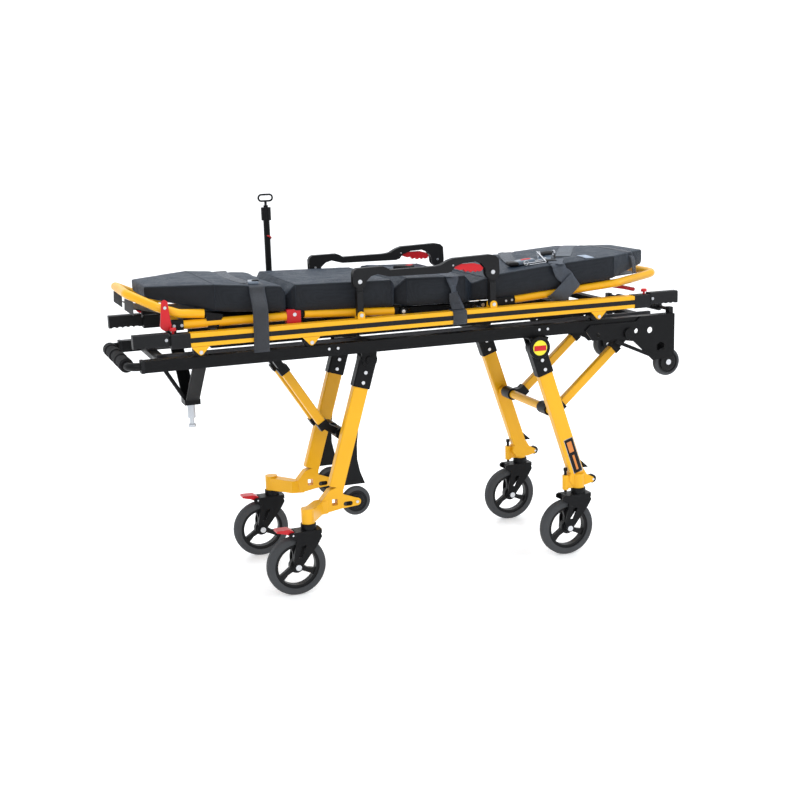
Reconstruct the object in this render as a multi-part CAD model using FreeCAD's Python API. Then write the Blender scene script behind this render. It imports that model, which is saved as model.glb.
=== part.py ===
import FreeCAD, Part
import math
import os

# Ambulance stretcher trolley, all sizes in millimetres.
# Frame: X points to the head end, Y to the far side, Z up. The origin is on the floor,
# midway between the ends of the stretcher's side rails, on the centre line.
# Most pieces are drawn on the far side (+Y) and mirrored for the near side.

V = FreeCAD.Vector
ALONG_X, ALONG_Y, ALONG_Z = V(1, 0, 0), V(0, 1, 0), V(0, 0, 1)

# ---------------------------------------------------------------- driving dimensions
WHEEL_R = 100.0          # caster wheel radius
TYRE_W = 36.0
CASTER_TRAIL = 48.0      # wheel axle behind the swivel axis
FORK_TOP = 219.0
RING_TOP = 238.0         # top of the swivel bearing ring
BOSS_BOTTOM = 239.0
BOSS_TOP = 290.0
STEM_R = 8.0
RUNNING = 0.05           # radial running clearance on pins and stems

FOOT_SWIVEL_X, FOOT_SWIVEL_Y = -422.0, 228.0
HEAD_SWIVEL_X, HEAD_SWIVEL_Y = 571.0, 238.0

# undercarriage rails
RAIL_X0, RAIL_X1 = -922.0, 955.0
RAIL_Y0, RAIL_Y1 = 200.0, 235.0
RAIL_Z0, RAIL_Z1 = 789.0, 827.0
CROSS_H = 17.0
GUIDE_Y0, GUIDE_Y1 = 87.0, 103.0
GUIDE_Z0, GUIDE_Z1 = 806.0, 820.0

# legs: pivot, lean from vertical (degrees), half track of the tubes
LEG_PIVOT_Z = 752.0
FOOT_PIVOT_X, FOOT_LEAN, FOOT_LEG_Y = -168.0, -16.7, 142.0
HEAD_PIVOT_X, HEAD_LEAN, HEAD_LEG_Y = 413.0, 18.2, 232.0
LEG_W, LEG_D, LEG_WALL = 52.0, 33.0, 3.0
SOCKET_W, SOCKET_D, SOCKET_L = 60.0, 40.0, 98.0
SOCKET_BOLT_T = (45.0, 80.0)
EYE_R = 30.0
PIVOT_BOLT_R = 8.0
FOOT_TUBE_END, HEAD_TUBE_END = 446.0, 478.0
FOOT_BAR_T, HEAD_BAR_T = 275.0, 249.0    # crossbar distance below the leg pivot
FOOT_BAR_R, HEAD_BAR_R = 13.0, 15.0

# braces: top shaft position at rest
SHAFT_Z = 790.0
FOOT_SHAFT_X, HEAD_SHAFT_X = -477.0, 845.0
SHAFT_R, ROLLER_R = 8.0, 14.0
BRACE_W, BRACE_D = 30.0, 25.0

# loading wheels
LOAD_X, LOAD_Z, LOAD_R = 934.0, 654.0, 50.0
AUX_X, AUX_Z, AUX_R = -226.0, 268.0, 50.0

# stretcher side rails
SIDE_HALF = 780.0
SIDE_Y0, SIDE_Y1 = 222.0, 265.0
SIDE_Z0, SIDE_Z1 = 862.0, 905.0
COLLAR_L = 60.0
HANDLE_TIP = 956.0
HANDLE_X0 = 846.0
BUTTON_X = 829.0
SIDE_MID_Y = 241.5       # centre of the rail's inner cavity

# sections of the lying surface
TUBE_R, TUBE_WALL = 14.0, 2.0
DECK_TUBE_Y = 205.0
THIGH_PIVOT = (-60.0, 912.0)
KNEE_REACH = 372.0
THIGH_TILT = 3.0
BACK_PIVOT = (225.0, 912.0)
BACK_TILT = 4.0
HINGE_R = 6.0
PAD_HALF_W = 226.0

# armrests
ARM_Y = 244.0
ARM_FRONT_X, ARM_REAR_X = -221.0, 246.0
ARM_LOW_Z, ARM_TOP_Z = 917.0, 1025.0

POLE_X, POLE_Y = -378.0, 280.0


# ---------------------------------------------------------------- small helpers
def box(x0, x1, y0, y1, z0, z1):
    return Part.makeBox(x1 - x0, y1 - y0, z1 - z0, V(x0, y0, z0))


def rod_y(x, z, radius, y0, y1):
    return Part.makeCylinder(radius, y1 - y0, V(x, y0, z), ALONG_Y)


def rod_z(x, y, radius, z0, z1):
    return Part.makeCylinder(radius, z1 - z0, V(x, y, z0), ALONG_Z)


def plate_y(outline, y0, y1):
    """Flat plate: an outline of (x, z) corners, from y0 to y1."""
    corners = [V(x, y0, z) for x, z in outline]
    face = Part.Face(Part.makePolygon(corners + corners[:1]))
    return face.extrude(V(0, y1 - y0, 0))


def plate_x(outline, x0, x1):
    """Flat plate: an outline of (y, z) corners, from x0 to x1."""
    corners = [V(x0, y, z) for y, z in outline]
    face = Part.Face(Part.makePolygon(corners + corners[:1]))
    return face.extrude(V(x1 - x0, 0, 0))


def plate_z(outline, z0, z1):
    """Flat plate: an outline of (x, y) corners, from z0 to z1."""
    corners = [V(x, y, z0) for x, y in outline]
    face = Part.Face(Part.makePolygon(corners + corners[:1]))
    return face.extrude(V(0, 0, z1 - z0))


def bar_y(start, end, width, y0, y1):
    """Straight bar between two (x, z) points, width measured across its length."""
    dx, dz = end[0] - start[0], end[1] - start[1]
    length = math.hypot(dx, dz)
    nx, nz = -dz / length * width / 2, dx / length * width / 2
    outline = [(start[0] + nx, start[1] + nz), (end[0] + nx, end[1] + nz),
               (end[0] - nx, end[1] - nz), (start[0] - nx, start[1] - nz)]
    return plate_y(outline, y0, y1)


def along(start, end, distance):
    """The (x, z) point at a distance from start towards end."""
    length = math.hypot(end[0] - start[0], end[1] - start[1])
    return (start[0] + (end[0] - start[0]) * distance / length,
            start[1] + (end[1] - start[1]) * distance / length)


def fuse(first, *others):
    return first.fuse(list(others)).removeSplitter()


def mirrored(shape):
    copy = shape.mirror(V(0, 0, 0), ALONG_Y)
    if copy.Volume < 0:
        copy.reverse()
    return copy


def pair(*shapes):
    """The far-side shapes and their near-side mirror images."""
    return list(shapes) + [mirrored(shape) for shape in shapes]


def round_long_edges(shape, radius, direction):
    """Round the edges that run along a direction."""
    chosen = []
    for edge in shape.Edges:
        if not isinstance(edge.Curve, Part.Line):
            continue
        if abs(edge.Curve.Direction.dot(direction)) > 0.999:
            chosen.append(edge)
    return shape.makeFillet(radius, chosen)


def swept_tube(points, bend, radius, wall):
    """Round tube along a polyline whose corners are bent to a radius."""
    corners = [V(*point) for point in points]
    edges = []
    here = corners[0]
    for before, corner, after in zip(corners, corners[1:], corners[2:]):
        back = (before - corner).normalize()
        ahead = (after - corner).normalize()
        half = back.getAngle(ahead) / 2
        reach = bend / math.tan(half)
        first = corner + back * reach
        last = corner + ahead * reach
        inward = (back + ahead).normalize()
        middle = corner + inward * (bend / math.sin(half) - bend)
        edges.append(Part.makeLine(here, first))
        edges.append(Part.Arc(first, middle, last).toShape())
        here = last
    edges.append(Part.makeLine(here, corners[-1]))
    path = Part.Wire(edges)
    direction = (corners[1] - corners[0]).normalize()

    def sweep(size):
        ring = Part.Wire(Part.makeCircle(size, corners[0], direction))
        return path.makePipeShell([ring], True, False)

    return sweep(radius).cut(sweep(radius - wall))


def tilted(shapes, pivot, degrees):
    """Turn shapes about the Y axis through an (x, z) pivot; positive lifts the -X side."""
    for shape in shapes:
        shape.rotate(V(pivot[0], 0, pivot[1]), ALONG_Y, degrees)
    return shapes


def save(node, solids):
    """Write one node: a group of separate solids."""
    parts = []
    for shape in solids:
        parts.extend(shape.Solids)
    Part.makeCompound(parts).exportStep("parts/%s.step" % node)


# ---------------------------------------------------------------- leg geometry
def leg_point(pivot_x, lean, distance):
    """The (x, z) point on a leg's centre line, at a distance below its pivot."""
    turn = math.radians(lean)
    return (pivot_x + distance * math.sin(turn), LEG_PIVOT_Z - distance * math.cos(turn))


def foot_point(distance):
    return leg_point(FOOT_PIVOT_X, FOOT_LEAN, distance)


def head_point(distance):
    return leg_point(HEAD_PIVOT_X, HEAD_LEAN, distance)


def leg_tube(point, middle_y, end):
    """Rectangular leg tube from inside the socket down to the casting."""
    start, stop = point(40), point(end)
    direction = (V(stop[0], 0, stop[1]) - V(start[0], 0, start[1])).normalize()
    y0, y1 = middle_y - LEG_D / 2, middle_y + LEG_D / 2
    outer = round_long_edges(bar_y(start, stop, LEG_W, y0, y1), 5, direction)
    inner = bar_y(start, stop, LEG_W - 2 * LEG_WALL, y0 + LEG_WALL, y1 - LEG_WALL)
    return outer.cut(inner)


def leg_socket(point, middle_y):
    """Moulded socket with the pivot eye, holding the top of a leg tube."""
    y0, y1 = middle_y - SOCKET_D / 2, middle_y + SOCKET_D / 2
    pivot = point(0)
    start, stop = point(40), point(SOCKET_L)
    direction = (V(stop[0], 0, stop[1]) - V(start[0], 0, start[1])).normalize()
    body = round_long_edges(bar_y(pivot, stop, SOCKET_W, y0, y1), 6, direction)
    body = fuse(body, rod_y(pivot[0], pivot[1], EYE_R, y0, y1))
    half = LEG_D / 2
    pocket = round_long_edges(bar_y(start, stop, LEG_W, middle_y - half, middle_y + half), 5, direction)
    body = body.cut(pocket)
    return body.cut(rod_y(pivot[0], pivot[1], PIVOT_BOLT_R + RUNNING, y0 - 1, y1 + 1))


# ---------------------------------------------------------------- undercarriage
def hollow_x(x0, x1, y0, y1, z0, z1, wall):
    """Rectangular tube along X."""
    inner = box(x0 - 1, x1 + 1, y0 + wall, y1 - wall, z0 + wall, z1 - wall)
    return box(x0, x1, y0, y1, z0, z1).cut(inner)


def hollow_y(x0, x1, y0, y1, z0, z1, wall):
    """Rectangular tube along Y."""
    inner = box(x0 + wall, x1 - wall, y0 - 1, y1 + 1, z0 + wall, z1 - wall)
    return box(x0, x1, y0, y1, z0, z1).cut(inner)


def chassis_side_rails():
    rail = hollow_x(RAIL_X0, RAIL_X1, RAIL_Y0, RAIL_Y1, RAIL_Z0, RAIL_Z1, 3)
    return pair(rail)


CROSS_STATIONS = ((-860, -825), (-198, -138), (280, 320), (905, 940))
HEAD_ROLLER_X, HEAD_ROLLER_Z = 948.0, 841.0


def chassis_cross_members():
    top = RAIL_Z0 + CROSS_H
    beams = [hollow_y(x0, x1, -RAIL_Y0, RAIL_Y0, RAIL_Z0, top, 3) for x0, x1 in CROSS_STATIONS]
    lug = box(HEAD_ROLLER_X - 9, 955, 206, 230, RAIL_Z1, HEAD_ROLLER_Z + 9)
    lug = lug.cut(rod_y(HEAD_ROLLER_X, HEAD_ROLLER_Z, 6, 200, 235))
    bar = rod_y(HEAD_ROLLER_X, HEAD_ROLLER_Z, 6, -230, 230)
    sleeve = rod_y(HEAD_ROLLER_X, HEAD_ROLLER_Z, 14, -150, 150).cut(
        rod_y(HEAD_ROLLER_X, HEAD_ROLLER_Z, 6, -151, 151))
    sleeve = sleeve.makeFillet(3, [e for e in sleeve.Edges if abs(e.BoundBox.XLength - 28) < 0.5])
    return beams + pair(lug) + [bar, sleeve]


def guide_rails():
    """Stainless rails that the brace rollers run under."""
    return pair(hollow_x(-860, 940, GUIDE_Y0, GUIDE_Y1, GUIDE_Z0, GUIDE_Z1, 2))


GRIP_R = 19.0
PUSH_X, PUSH_Y, PUSH_Z = -968.0, 217.5, 808.0


def push_handle():
    points = [(-890, PUSH_Y, PUSH_Z), (PUSH_X, PUSH_Y, PUSH_Z),
              (PUSH_X, -PUSH_Y, PUSH_Z), (-890, -PUSH_Y, PUSH_Z)]
    return [swept_tube(points, 36, 13, TUBE_WALL)]


def push_handle_grip():
    """Foam grip with raised rings."""
    grip = rod_y(PUSH_X, PUSH_Z, GRIP_R, -178, 178)
    rings = []
    for middle in (-150, -50, 50, 150):
        ring = rod_y(PUSH_X, PUSH_Z, GRIP_R + 4, middle - 24, middle + 24)
        rings.append(ring.makeFillet(3.5, ring.Edges[:1] + ring.Edges[2:3]))
    grip = fuse(grip, *rings)
    return [grip.cut(rod_y(PUSH_X, PUSH_Z, 13, -180, 180))]


def clevis_plate(pivot_x, half_top, top_z, eye_r, y0, y1):
    """One cheek of a leg hinge: wide at the top, round about the pivot."""
    outline = [(pivot_x - half_top, top_z), (pivot_x + half_top, top_z),
               (pivot_x + eye_r, LEG_PIVOT_Z), (pivot_x - eye_r, LEG_PIVOT_Z)]
    cheek = plate_y(outline, y0, y1).fuse(rod_y(pivot_x, LEG_PIVOT_Z, eye_r, y0, y1))
    cheek = cheek.removeSplitter()
    return cheek.cut(rod_y(pivot_x, LEG_PIVOT_Z, PIVOT_BOLT_R, y0 - 1, y1 + 1))


def leg_clevises():
    gap = SOCKET_D / 2 + 0.5
    foot_in = clevis_plate(FOOT_PIVOT_X, 29, RAIL_Z0, 24, FOOT_LEG_Y - gap - 5.5, FOOT_LEG_Y - gap)
    foot_out = clevis_plate(FOOT_PIVOT_X, 29, RAIL_Z0, 24, FOOT_LEG_Y + gap, FOOT_LEG_Y + gap + 5.5)
    y_in, y_out = HEAD_LEG_Y - gap - 5.5, HEAD_LEG_Y + gap + 5.5
    head_in = clevis_plate(HEAD_PIVOT_X, 36, RAIL_Z0, 24, y_in, y_in + 5.5)
    head_out = clevis_plate(HEAD_PIVOT_X, 36, RAIL_Z0 - 1, 24, y_out - 5.5, y_out)
    bridge = box(HEAD_PIVOT_X - 36, HEAD_PIVOT_X + 36, y_in, y_out, RAIL_Z0 - 5, RAIL_Z0)
    disc = rod_y(HEAD_PIVOT_X, LEG_PIVOT_Z + 3, 39, y_out, y_out + 8)
    disc = disc.makeFillet(3, [e for e in disc.Edges if e.BoundBox.YMin > y_out + 7])
    return pair(foot_in, foot_out, fuse(head_in, head_out, bridge), disc)


def bolt_y(x, z, radius, y0, y1, head_r, head_h):
    """Bolt along Y with a head at its outer end."""
    shank = rod_y(x, z, radius, y0, y1)
    head = rod_y(x, z, head_r, y1, y1 + head_h)
    return fuse(shank, head)


TAB_STATIONS = (-750.0, -392.0, 640.0)
TAB_Z, TAB_ROLLER_R = 844.0, 17.0
RAIL_SCREWS = ((-327, 813), (-297, 813), (425, 813), (457, 813))


def steel_bolts():
    foot = bolt_y(FOOT_PIVOT_X, LEG_PIVOT_Z, PIVOT_BOLT_R, 112, 168, 12, 5)
    head = rod_y(HEAD_PIVOT_X, LEG_PIVOT_Z, PIVOT_BOLT_R, 203, 258)
    loading = bolt_y(LOAD_X, LOAD_Z, 6, RAIL_Y0, 233, 10, 6)
    parts = [foot, head, loading]
    for x in TAB_STATIONS:
        parts.append(bolt_y(x, TAB_Z, 4, 205, 264, 6, 3))
    for x in (ARM_FRONT_X, ARM_REAR_X):
        parts.append(bolt_y(x, ARM_LOW_Z, 4, 225, 261, 6, 3))
    for x, z in RAIL_SCREWS:
        parts.append(rod_y(x, z, 4.5, RAIL_Y1, RAIL_Y1 + 2.5))
    return pair(*parts)


LOCK_X = -740.0
LOCK_PIN_R = 13.0


def floor_lock_bracket():
    """V bracket under the foot end that carries the vehicle's floor-lock pin."""
    x0, x1 = LOCK_X - 22, LOCK_X + 22
    rise = math.hypot(168, 160)
    ny, nz = 160 / rise * 3.5, -168 / rise * 3.5
    low, high = (26, 643), (194, 803)
    arm = plate_x([(low[0] + ny, low[1] + nz), (high[0] + ny, high[1] + nz),
                   (high[0] - ny, high[1] - nz), (low[0] - ny, low[1] - nz)], x0, x1)
    pad = box(x0, x1, 192, RAIL_Y0, 792, 824)
    block = box(LOCK_X - 26, LOCK_X + 26, -32, 32, 632, 650)
    strut = bar_y((-842, RAIL_Z0), (-757, 645), 12, -16, 16).cut(box(-900, -700, -40, 40, 789, 830))
    body = fuse(block, strut, *pair(arm, pad))
    return [body.cut(rod_z(LOCK_X, 0, 8, 600, 646))]


def floor_lock_pin():
    """Pin with a neck that the vehicle's floor catch takes hold of."""
    return [fuse(rod_z(LOCK_X, 0, LOCK_PIN_R, 584, 632), rod_z(LOCK_X, 0, 7.5, 560, 586),
                 rod_z(LOCK_X, 0, LOCK_PIN_R, 553, 562), rod_z(LOCK_X, 0, 8, 631, 646))]


def loading_brackets():
    """Side plates at the head end: outer cheek, inner axle plate, diagonal strut and round knob."""
    outline = [(600, 795), (628, 757), (690, 757), (790, 742), (835, 700), (868, 668), (950, 672),
               (955, 700), (955, 828), (818, 828), (800, 812), (620, 812)]
    plate = plate_y(outline, RAIL_Y1, RAIL_Y1 + 6)
    holes = [rod_y(800, 778, 9, 230, 245), rod_y(856, 776, 11, 230, 245),
             rod_y(650, 774, 7, 230, 245)]
    window = plate_y([(885, 700), (915, 700), (918, 722), (900, 732), (884, 722)], 230, 245)
    plate = plate.cut(Part.makeCompound(holes + [window]))
    inner = plate_y([(890, RAIL_Z0), (955, RAIL_Z0), (952, 642), (916, 642)], RAIL_Y0, RAIL_Y0 + 6)
    inner = inner.cut(rod_y(LOAD_X, LOAD_Z, 6, 190, 230))
    strut = bar_y((718, 748), (872, 680), 12, RAIL_Y1 + 6, RAIL_Y1 + 11)
    knob = rod_y(770, 772, 19, RAIL_Y1 + 6, RAIL_Y1 + 15)
    return pair(plate, inner, strut, knob)


def small_wheel(x, z, radius, width, bore, middle_y):
    """Solid wheel with a rounded tyre and recessed faces."""
    y0, y1 = middle_y - width / 2, middle_y + width / 2
    wheel = rod_y(x, z, radius, y0, y1)
    wheel = wheel.makeFillet(width * 0.3, [e for e in wheel.Edges if e.BoundBox.YLength < 0.1])
    for face_y in (y0 - 1, y1 - 3):
        ring = rod_y(x, z, radius - 13, face_y, face_y + 4)
        wheel = wheel.cut(ring.cut(rod_y(x, z, bore + 8, face_y - 1, face_y + 5)))
    return wheel.cut(rod_y(x, z, bore, y0 - 1, y1 + 1))


def loading_wheels():
    return pair(small_wheel(LOAD_X, LOAD_Z, LOAD_R, 24, 6 + RUNNING, 220))


# ---------------------------------------------------------------- stretcher rails and fittings
def stretcher_side_rails():
    rail = box(-SIDE_HALF, SIDE_HALF, SIDE_Y0, SIDE_Y1, SIDE_Z0, SIDE_Z1)
    rail = round_long_edges(rail, 4, ALONG_X)
    cavity = box(-SIDE_HALF - 1, SIDE_HALF + 1, SIDE_Y0 + 3, SIDE_Y1 - 7, SIDE_Z0 + 3, SIDE_Z1 - 3)
    groove = box(-SIDE_HALF - 1, SIDE_HALF + 1, SIDE_Y1 - 4, SIDE_Y1 + 1, 876, 891)
    return pair(rail.cut(cavity).cut(groove))


def collar(direction):
    """Moulded sleeve on a rail end, bored for the sliding handle bar and its button."""
    x0, x1 = sorted((direction * SIDE_HALF, direction * (SIDE_HALF + COLLAR_L)))
    sleeve = box(x0, x1, SIDE_Y0 - 1.5, SIDE_Y1 + 1.5, SIDE_Z0 - 1.5, SIDE_Z1 + 1.5)
    sleeve = round_long_edges(sleeve, 5, ALONG_X)
    bore = box(x0 - 1, x1 + 1, SIDE_MID_Y - 14, SIDE_MID_Y + 14, 870, 897)
    sleeve = sleeve.cut(bore)
    return sleeve.cut(rod_z(direction * BUTTON_X, SIDE_MID_Y, 4 + RUNNING, 890, 910))


def rail_fittings():
    """Collars, rubber stripes, end caps and support rollers of the rails."""
    stripe = box(-SIDE_HALF, SIDE_HALF, SIDE_Y1 - 4, SIDE_Y1 + 1, 876, 891)
    foot_cap = box(RAIL_X0 - 10, RAIL_X0, RAIL_Y0 - 1, RAIL_Y1 + 1, RAIL_Z0 - 1, RAIL_Z1 + 1)
    foot_cap = foot_cap.cut(Part.makeCylinder(13, 20, V(RAIL_X0 - 17, PUSH_Y, PUSH_Z), ALONG_X))
    head_cap = box(RAIL_X1, RAIL_X1 + 4, RAIL_Y0, RAIL_Y1, RAIL_Z0, RAIL_Z1)
    parts = [collar(-1), collar(1), stripe, foot_cap, head_cap]
    for x in TAB_STATIONS:
        roller = rod_y(x, TAB_Z, TAB_ROLLER_R, 207, 233)
        parts.append(roller.cut(rod_y(x, TAB_Z, 4, 200, 240)))
    return pair(*parts)


def rail_brackets():
    """Tabs below the rails and the armrest hinge lugs on top of them."""
    parts = []
    for x in TAB_STATIONS:
        tab = plate_y([(x - 29, SIDE_Z0), (x + 29, SIDE_Z0), (x + 20, 852), (x + 7, 838),
                       (x - 7, 838), (x - 20, 852)], 258, 264)
        tab = fuse(tab, rod_y(x, TAB_Z, 9, 258, 264))
        parts.append(tab.cut(rod_y(x, TAB_Z, 4, 250, 270)))
    for x in (ARM_FRONT_X, ARM_REAR_X):
        for y0 in (ARM_Y - 17, ARM_Y + 11.5):
            lug = box(x - 12, x + 12, y0, y0 + 5.5, SIDE_Z1, ARM_LOW_Z)
            lug = fuse(lug, rod_y(x, ARM_LOW_Z, 12, y0, y0 + 5.5))
            parts.append(lug.cut(rod_y(x, ARM_LOW_Z, 4, y0 - 1, y0 + 7)))
    return pair(*parts)


DECK_CROSS_X = (-640.0, -300.0, -20.0, 260.0, 560.0, 730.0)


RUNNER_X = (-700, 745)
RUNNER_Y = (160, 185)
RUNNER_Z = (841, 866)


def deck_frame():
    """Fixed black frame of the stretcher: cross tubes, runners, seat pan and hinge uprights."""
    parts = [hollow_y(x - 15, x + 15, -SIDE_Y0, SIDE_Y0, 866, 884, 2) for x in DECK_CROSS_X]
    parts.append(box(-40, 200, -188, 188, 916, 919))
    parts.extend(pair(hollow_x(*RUNNER_X, *RUNNER_Y, *RUNNER_Z, 2)))
    for x in (-20, 195):
        parts.append(box(x - 5, x + 5, -188, 188, 884, 916))
    for (x, z), low in ((THIGH_PIVOT, -20), (BACK_PIVOT, 260)):
        for y0 in (DECK_TUBE_Y - 14, DECK_TUBE_Y + 5):
            upright = plate_y([(low - 15, 884), (low + 15, 884), (x + 10, z), (x - 10, z)], y0, y0 + 9)
            upright = fuse(upright, rod_y(x, z, 12, y0, y0 + 9))
            parts.extend(pair(upright.cut(rod_y(x, z, HINGE_R, y0 - 1, y0 + 10))))
        parts.extend(pair(rod_y(x, z, HINGE_R, DECK_TUBE_Y - 14, DECK_TUBE_Y + 14)))
    return parts


def seat_cushion():
    outline = [(-52, 923), (205, 923), (210, 928), (124, 1020), (-72, 1020)]
    return [plate_y(outline, -PAD_HALF_W, PAD_HALF_W)]


def iv_pole_tube():
    """Outer tube of the drip pole with its clamps and ribbed locking knob."""
    tube = rod_z(POLE_X, POLE_Y, 11, 850, 1198).cut(rod_z(POLE_X, POLE_Y, 8, 849, 1200))
    knob = rod_z(POLE_X, POLE_Y, 17, 1198, 1243)
    for step in range(8):
        turn = math.radians(45 * step)
        knob = knob.cut(rod_z(POLE_X + 21 * math.cos(turn), POLE_Y + 21 * math.sin(turn), 6, 1190, 1250))
    knob = knob.cut(rod_z(POLE_X, POLE_Y, 8, 1190, 1250))
    clamp = box(POLE_X - 20, POLE_X + 20, SIDE_Y1 + 1, POLE_Y + 16, 866, 900)
    clamp = round_long_edges(clamp, 6, ALONG_Z).cut(rod_z(POLE_X, POLE_Y, 11, 860, 910))
    return [tube, knob, clamp]


def iv_pole_rod():
    """Inner rod with the oval bag loop standing on its top."""
    rod = rod_z(POLE_X, POLE_Y, 7.95, 900, 1250)
    stem = rod_z(POLE_X, POLE_Y, 4.5, 1250, 1266)
    half, mid_z, low, wire = 14, 1276, 11, 3.2
    ends = []
    for sign in (-1, 1):
        ring = Part.makeTorus(low, wire, V(POLE_X + sign * half, POLE_Y, mid_z), ALONG_Y)
        x0, x1 = sorted((POLE_X + sign * half, POLE_X + sign * 60))
        ends.append(ring.common(box(x0, x1, POLE_Y - 10, POLE_Y + 10, 1250, 1300)))
    sides = [Part.makeCylinder(wire, 2 * half, V(POLE_X - half, POLE_Y, z), ALONG_X)
             for z in (mid_z - low, mid_z + low)]
    return [fuse(rod, stem, *(ends + sides))]


# ---------------------------------------------------------------- legs
def socket_bolts(point, middle_y):
    """Two bolt heads on the outer and on the inner face of a leg socket."""
    outer, inner = middle_y + SOCKET_D / 2, middle_y - SOCKET_D / 2
    heads = []
    for x, z in [point(distance) for distance in SOCKET_BOLT_T]:
        heads += [rod_y(x, z, 6, outer, outer + 3), rod_y(x, z, 6, inner - 3, inner)]
    return heads


def boss(x, y):
    return rod_z(x, y, 22, BOSS_BOTTOM, BOSS_TOP)


def foot_leg_tubes():
    return pair(leg_tube(foot_point, FOOT_LEG_Y, FOOT_TUBE_END))


def foot_leg_fittings():
    """Sockets, crossbar and wheel guards of the foot-end legs."""
    x, z = foot_point(FOOT_BAR_T)
    inner = FOOT_LEG_Y - LEG_D / 2
    bar = rod_y(x, z, FOOT_BAR_R, -inner, inner).cut(rod_y(x, z, FOOT_BAR_R - 3, -inner, inner))
    top, bottom = foot_point(245), foot_point(443)
    half = LEG_W / 2 / math.cos(math.radians(FOOT_LEAN)) + 0.3
    corner = (bottom[0] + half, bottom[1])
    guard_end = (corner[0] + 74, corner[1])
    outline = [(top[0] + half, top[1]), corner, guard_end]
    for step in (0.25, 0.5, 0.75):
        share = 1 - step
        bow = -16 * math.sin(math.pi * step)
        outline.append((guard_end[0] * share + (top[0] + half) * step + bow,
                        guard_end[1] * share + top[1] * step - 10 * math.sin(math.pi * step)))
    guard = plate_y(outline, FOOT_LEG_Y - 11, FOOT_LEG_Y + 11)
    bolts = socket_bolts(foot_point, FOOT_LEG_Y)
    return pair(leg_socket(foot_point, FOOT_LEG_Y), guard, *bolts) + [bar]


def foot_leg_castings():
    """Cast foot: tube seat, swept arm to the caster boss and a fork for the small wheel."""
    y0, y1 = FOOT_LEG_Y - LEG_D / 2, FOOT_LEG_Y + LEG_D / 2
    left, right = foot_point(FOOT_TUBE_END), foot_point(FOOT_TUBE_END)
    body = plate_y([(left[0] - 27, left[1] - 7), (right[0] + 25, right[1] + 8), (-276, 300),
                    (AUX_X, AUX_Z + 13), (AUX_X, AUX_Z - 13), (-285, 250), (-345, 240), (-352, 285)], y0, y1)
    body = fuse(body, rod_y(AUX_X, AUX_Z, 13, y0, y1))
    sweep_arm = plate_z([(-330, y0), (-330, y1), (-352, y1 + 6), (-412, 249), (-434, 211), (-372, y0 + 8)],
                        240, 284)
    solid = fuse(body, sweep_arm, boss(FOOT_SWIVEL_X, FOOT_SWIVEL_Y))
    seat = bar_y(foot_point(FOOT_TUBE_END - 60), foot_point(FOOT_TUBE_END), LEG_W, y0 - 1, y1 + 1)
    solid = solid.cut(seat)
    window = box(-315, -296, y0 - 1, y1 + 1, 264, 286)
    slot = box(-283, -150, FOOT_LEG_Y - 11, FOOT_LEG_Y + 11, 200, 340)
    slot = slot.fuse(rod_y(AUX_X, AUX_Z, 56, FOOT_LEG_Y - 11, FOOT_LEG_Y + 11))
    eyelet = bar_y((-267, 265), (-250, 265), 16, y0 - 1, y1 + 1)
    eyelet = fuse(eyelet, *[rod_y(x, 265, 8, y0 - 1, y1 + 1) for x in (-267, -250)])
    solid = solid.cut(Part.makeCompound([window, eyelet])).cut(slot)
    solid = solid.cut(rod_y(AUX_X, AUX_Z, 5, y0 - 1, y1 + 1))
    solid = solid.cut(rod_z(FOOT_SWIVEL_X, FOOT_SWIVEL_Y, STEM_R + RUNNING, 230, 280))
    axle = rod_y(AUX_X, AUX_Z, 5, y0 - 3, y1 + 3)
    return pair(solid, axle)


def aux_wheels():
    return pair(small_wheel(AUX_X, AUX_Z, AUX_R, 20, 5 + RUNNING, FOOT_LEG_Y))


def head_leg_tubes():
    """Head-end leg tubes and the crossbar between them."""
    x, z = head_point(HEAD_BAR_T)
    inner = HEAD_LEG_Y - LEG_D / 2
    bar = rod_y(x, z, HEAD_BAR_R, -inner, inner).cut(rod_y(x, z, HEAD_BAR_R - 3, -inner, inner))
    return pair(leg_tube(head_point, HEAD_LEG_Y, HEAD_TUBE_END)) + [bar]


def head_leg_fittings():
    """Sockets and mud flaps of the head-end legs."""
    end = head_point(HEAD_TUBE_END)
    half = LEG_W / 2 / math.cos(math.radians(HEAD_LEAN)) + 0.3
    edge = end[0] + half
    flap = plate_y([(edge - 14, end[1] + 42), (edge - 3, end[1] + 10), (edge + 20, end[1] + 10)],
                   HEAD_LEG_Y - 9, HEAD_LEG_Y + 9)
    return pair(leg_socket(head_point, HEAD_LEG_Y), flap, *socket_bolts(head_point, HEAD_LEG_Y))


ROLLER_X, ROLLER_Z = 627.0, 262.0
LOCK_PIN_REACH = 50.0


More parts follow.
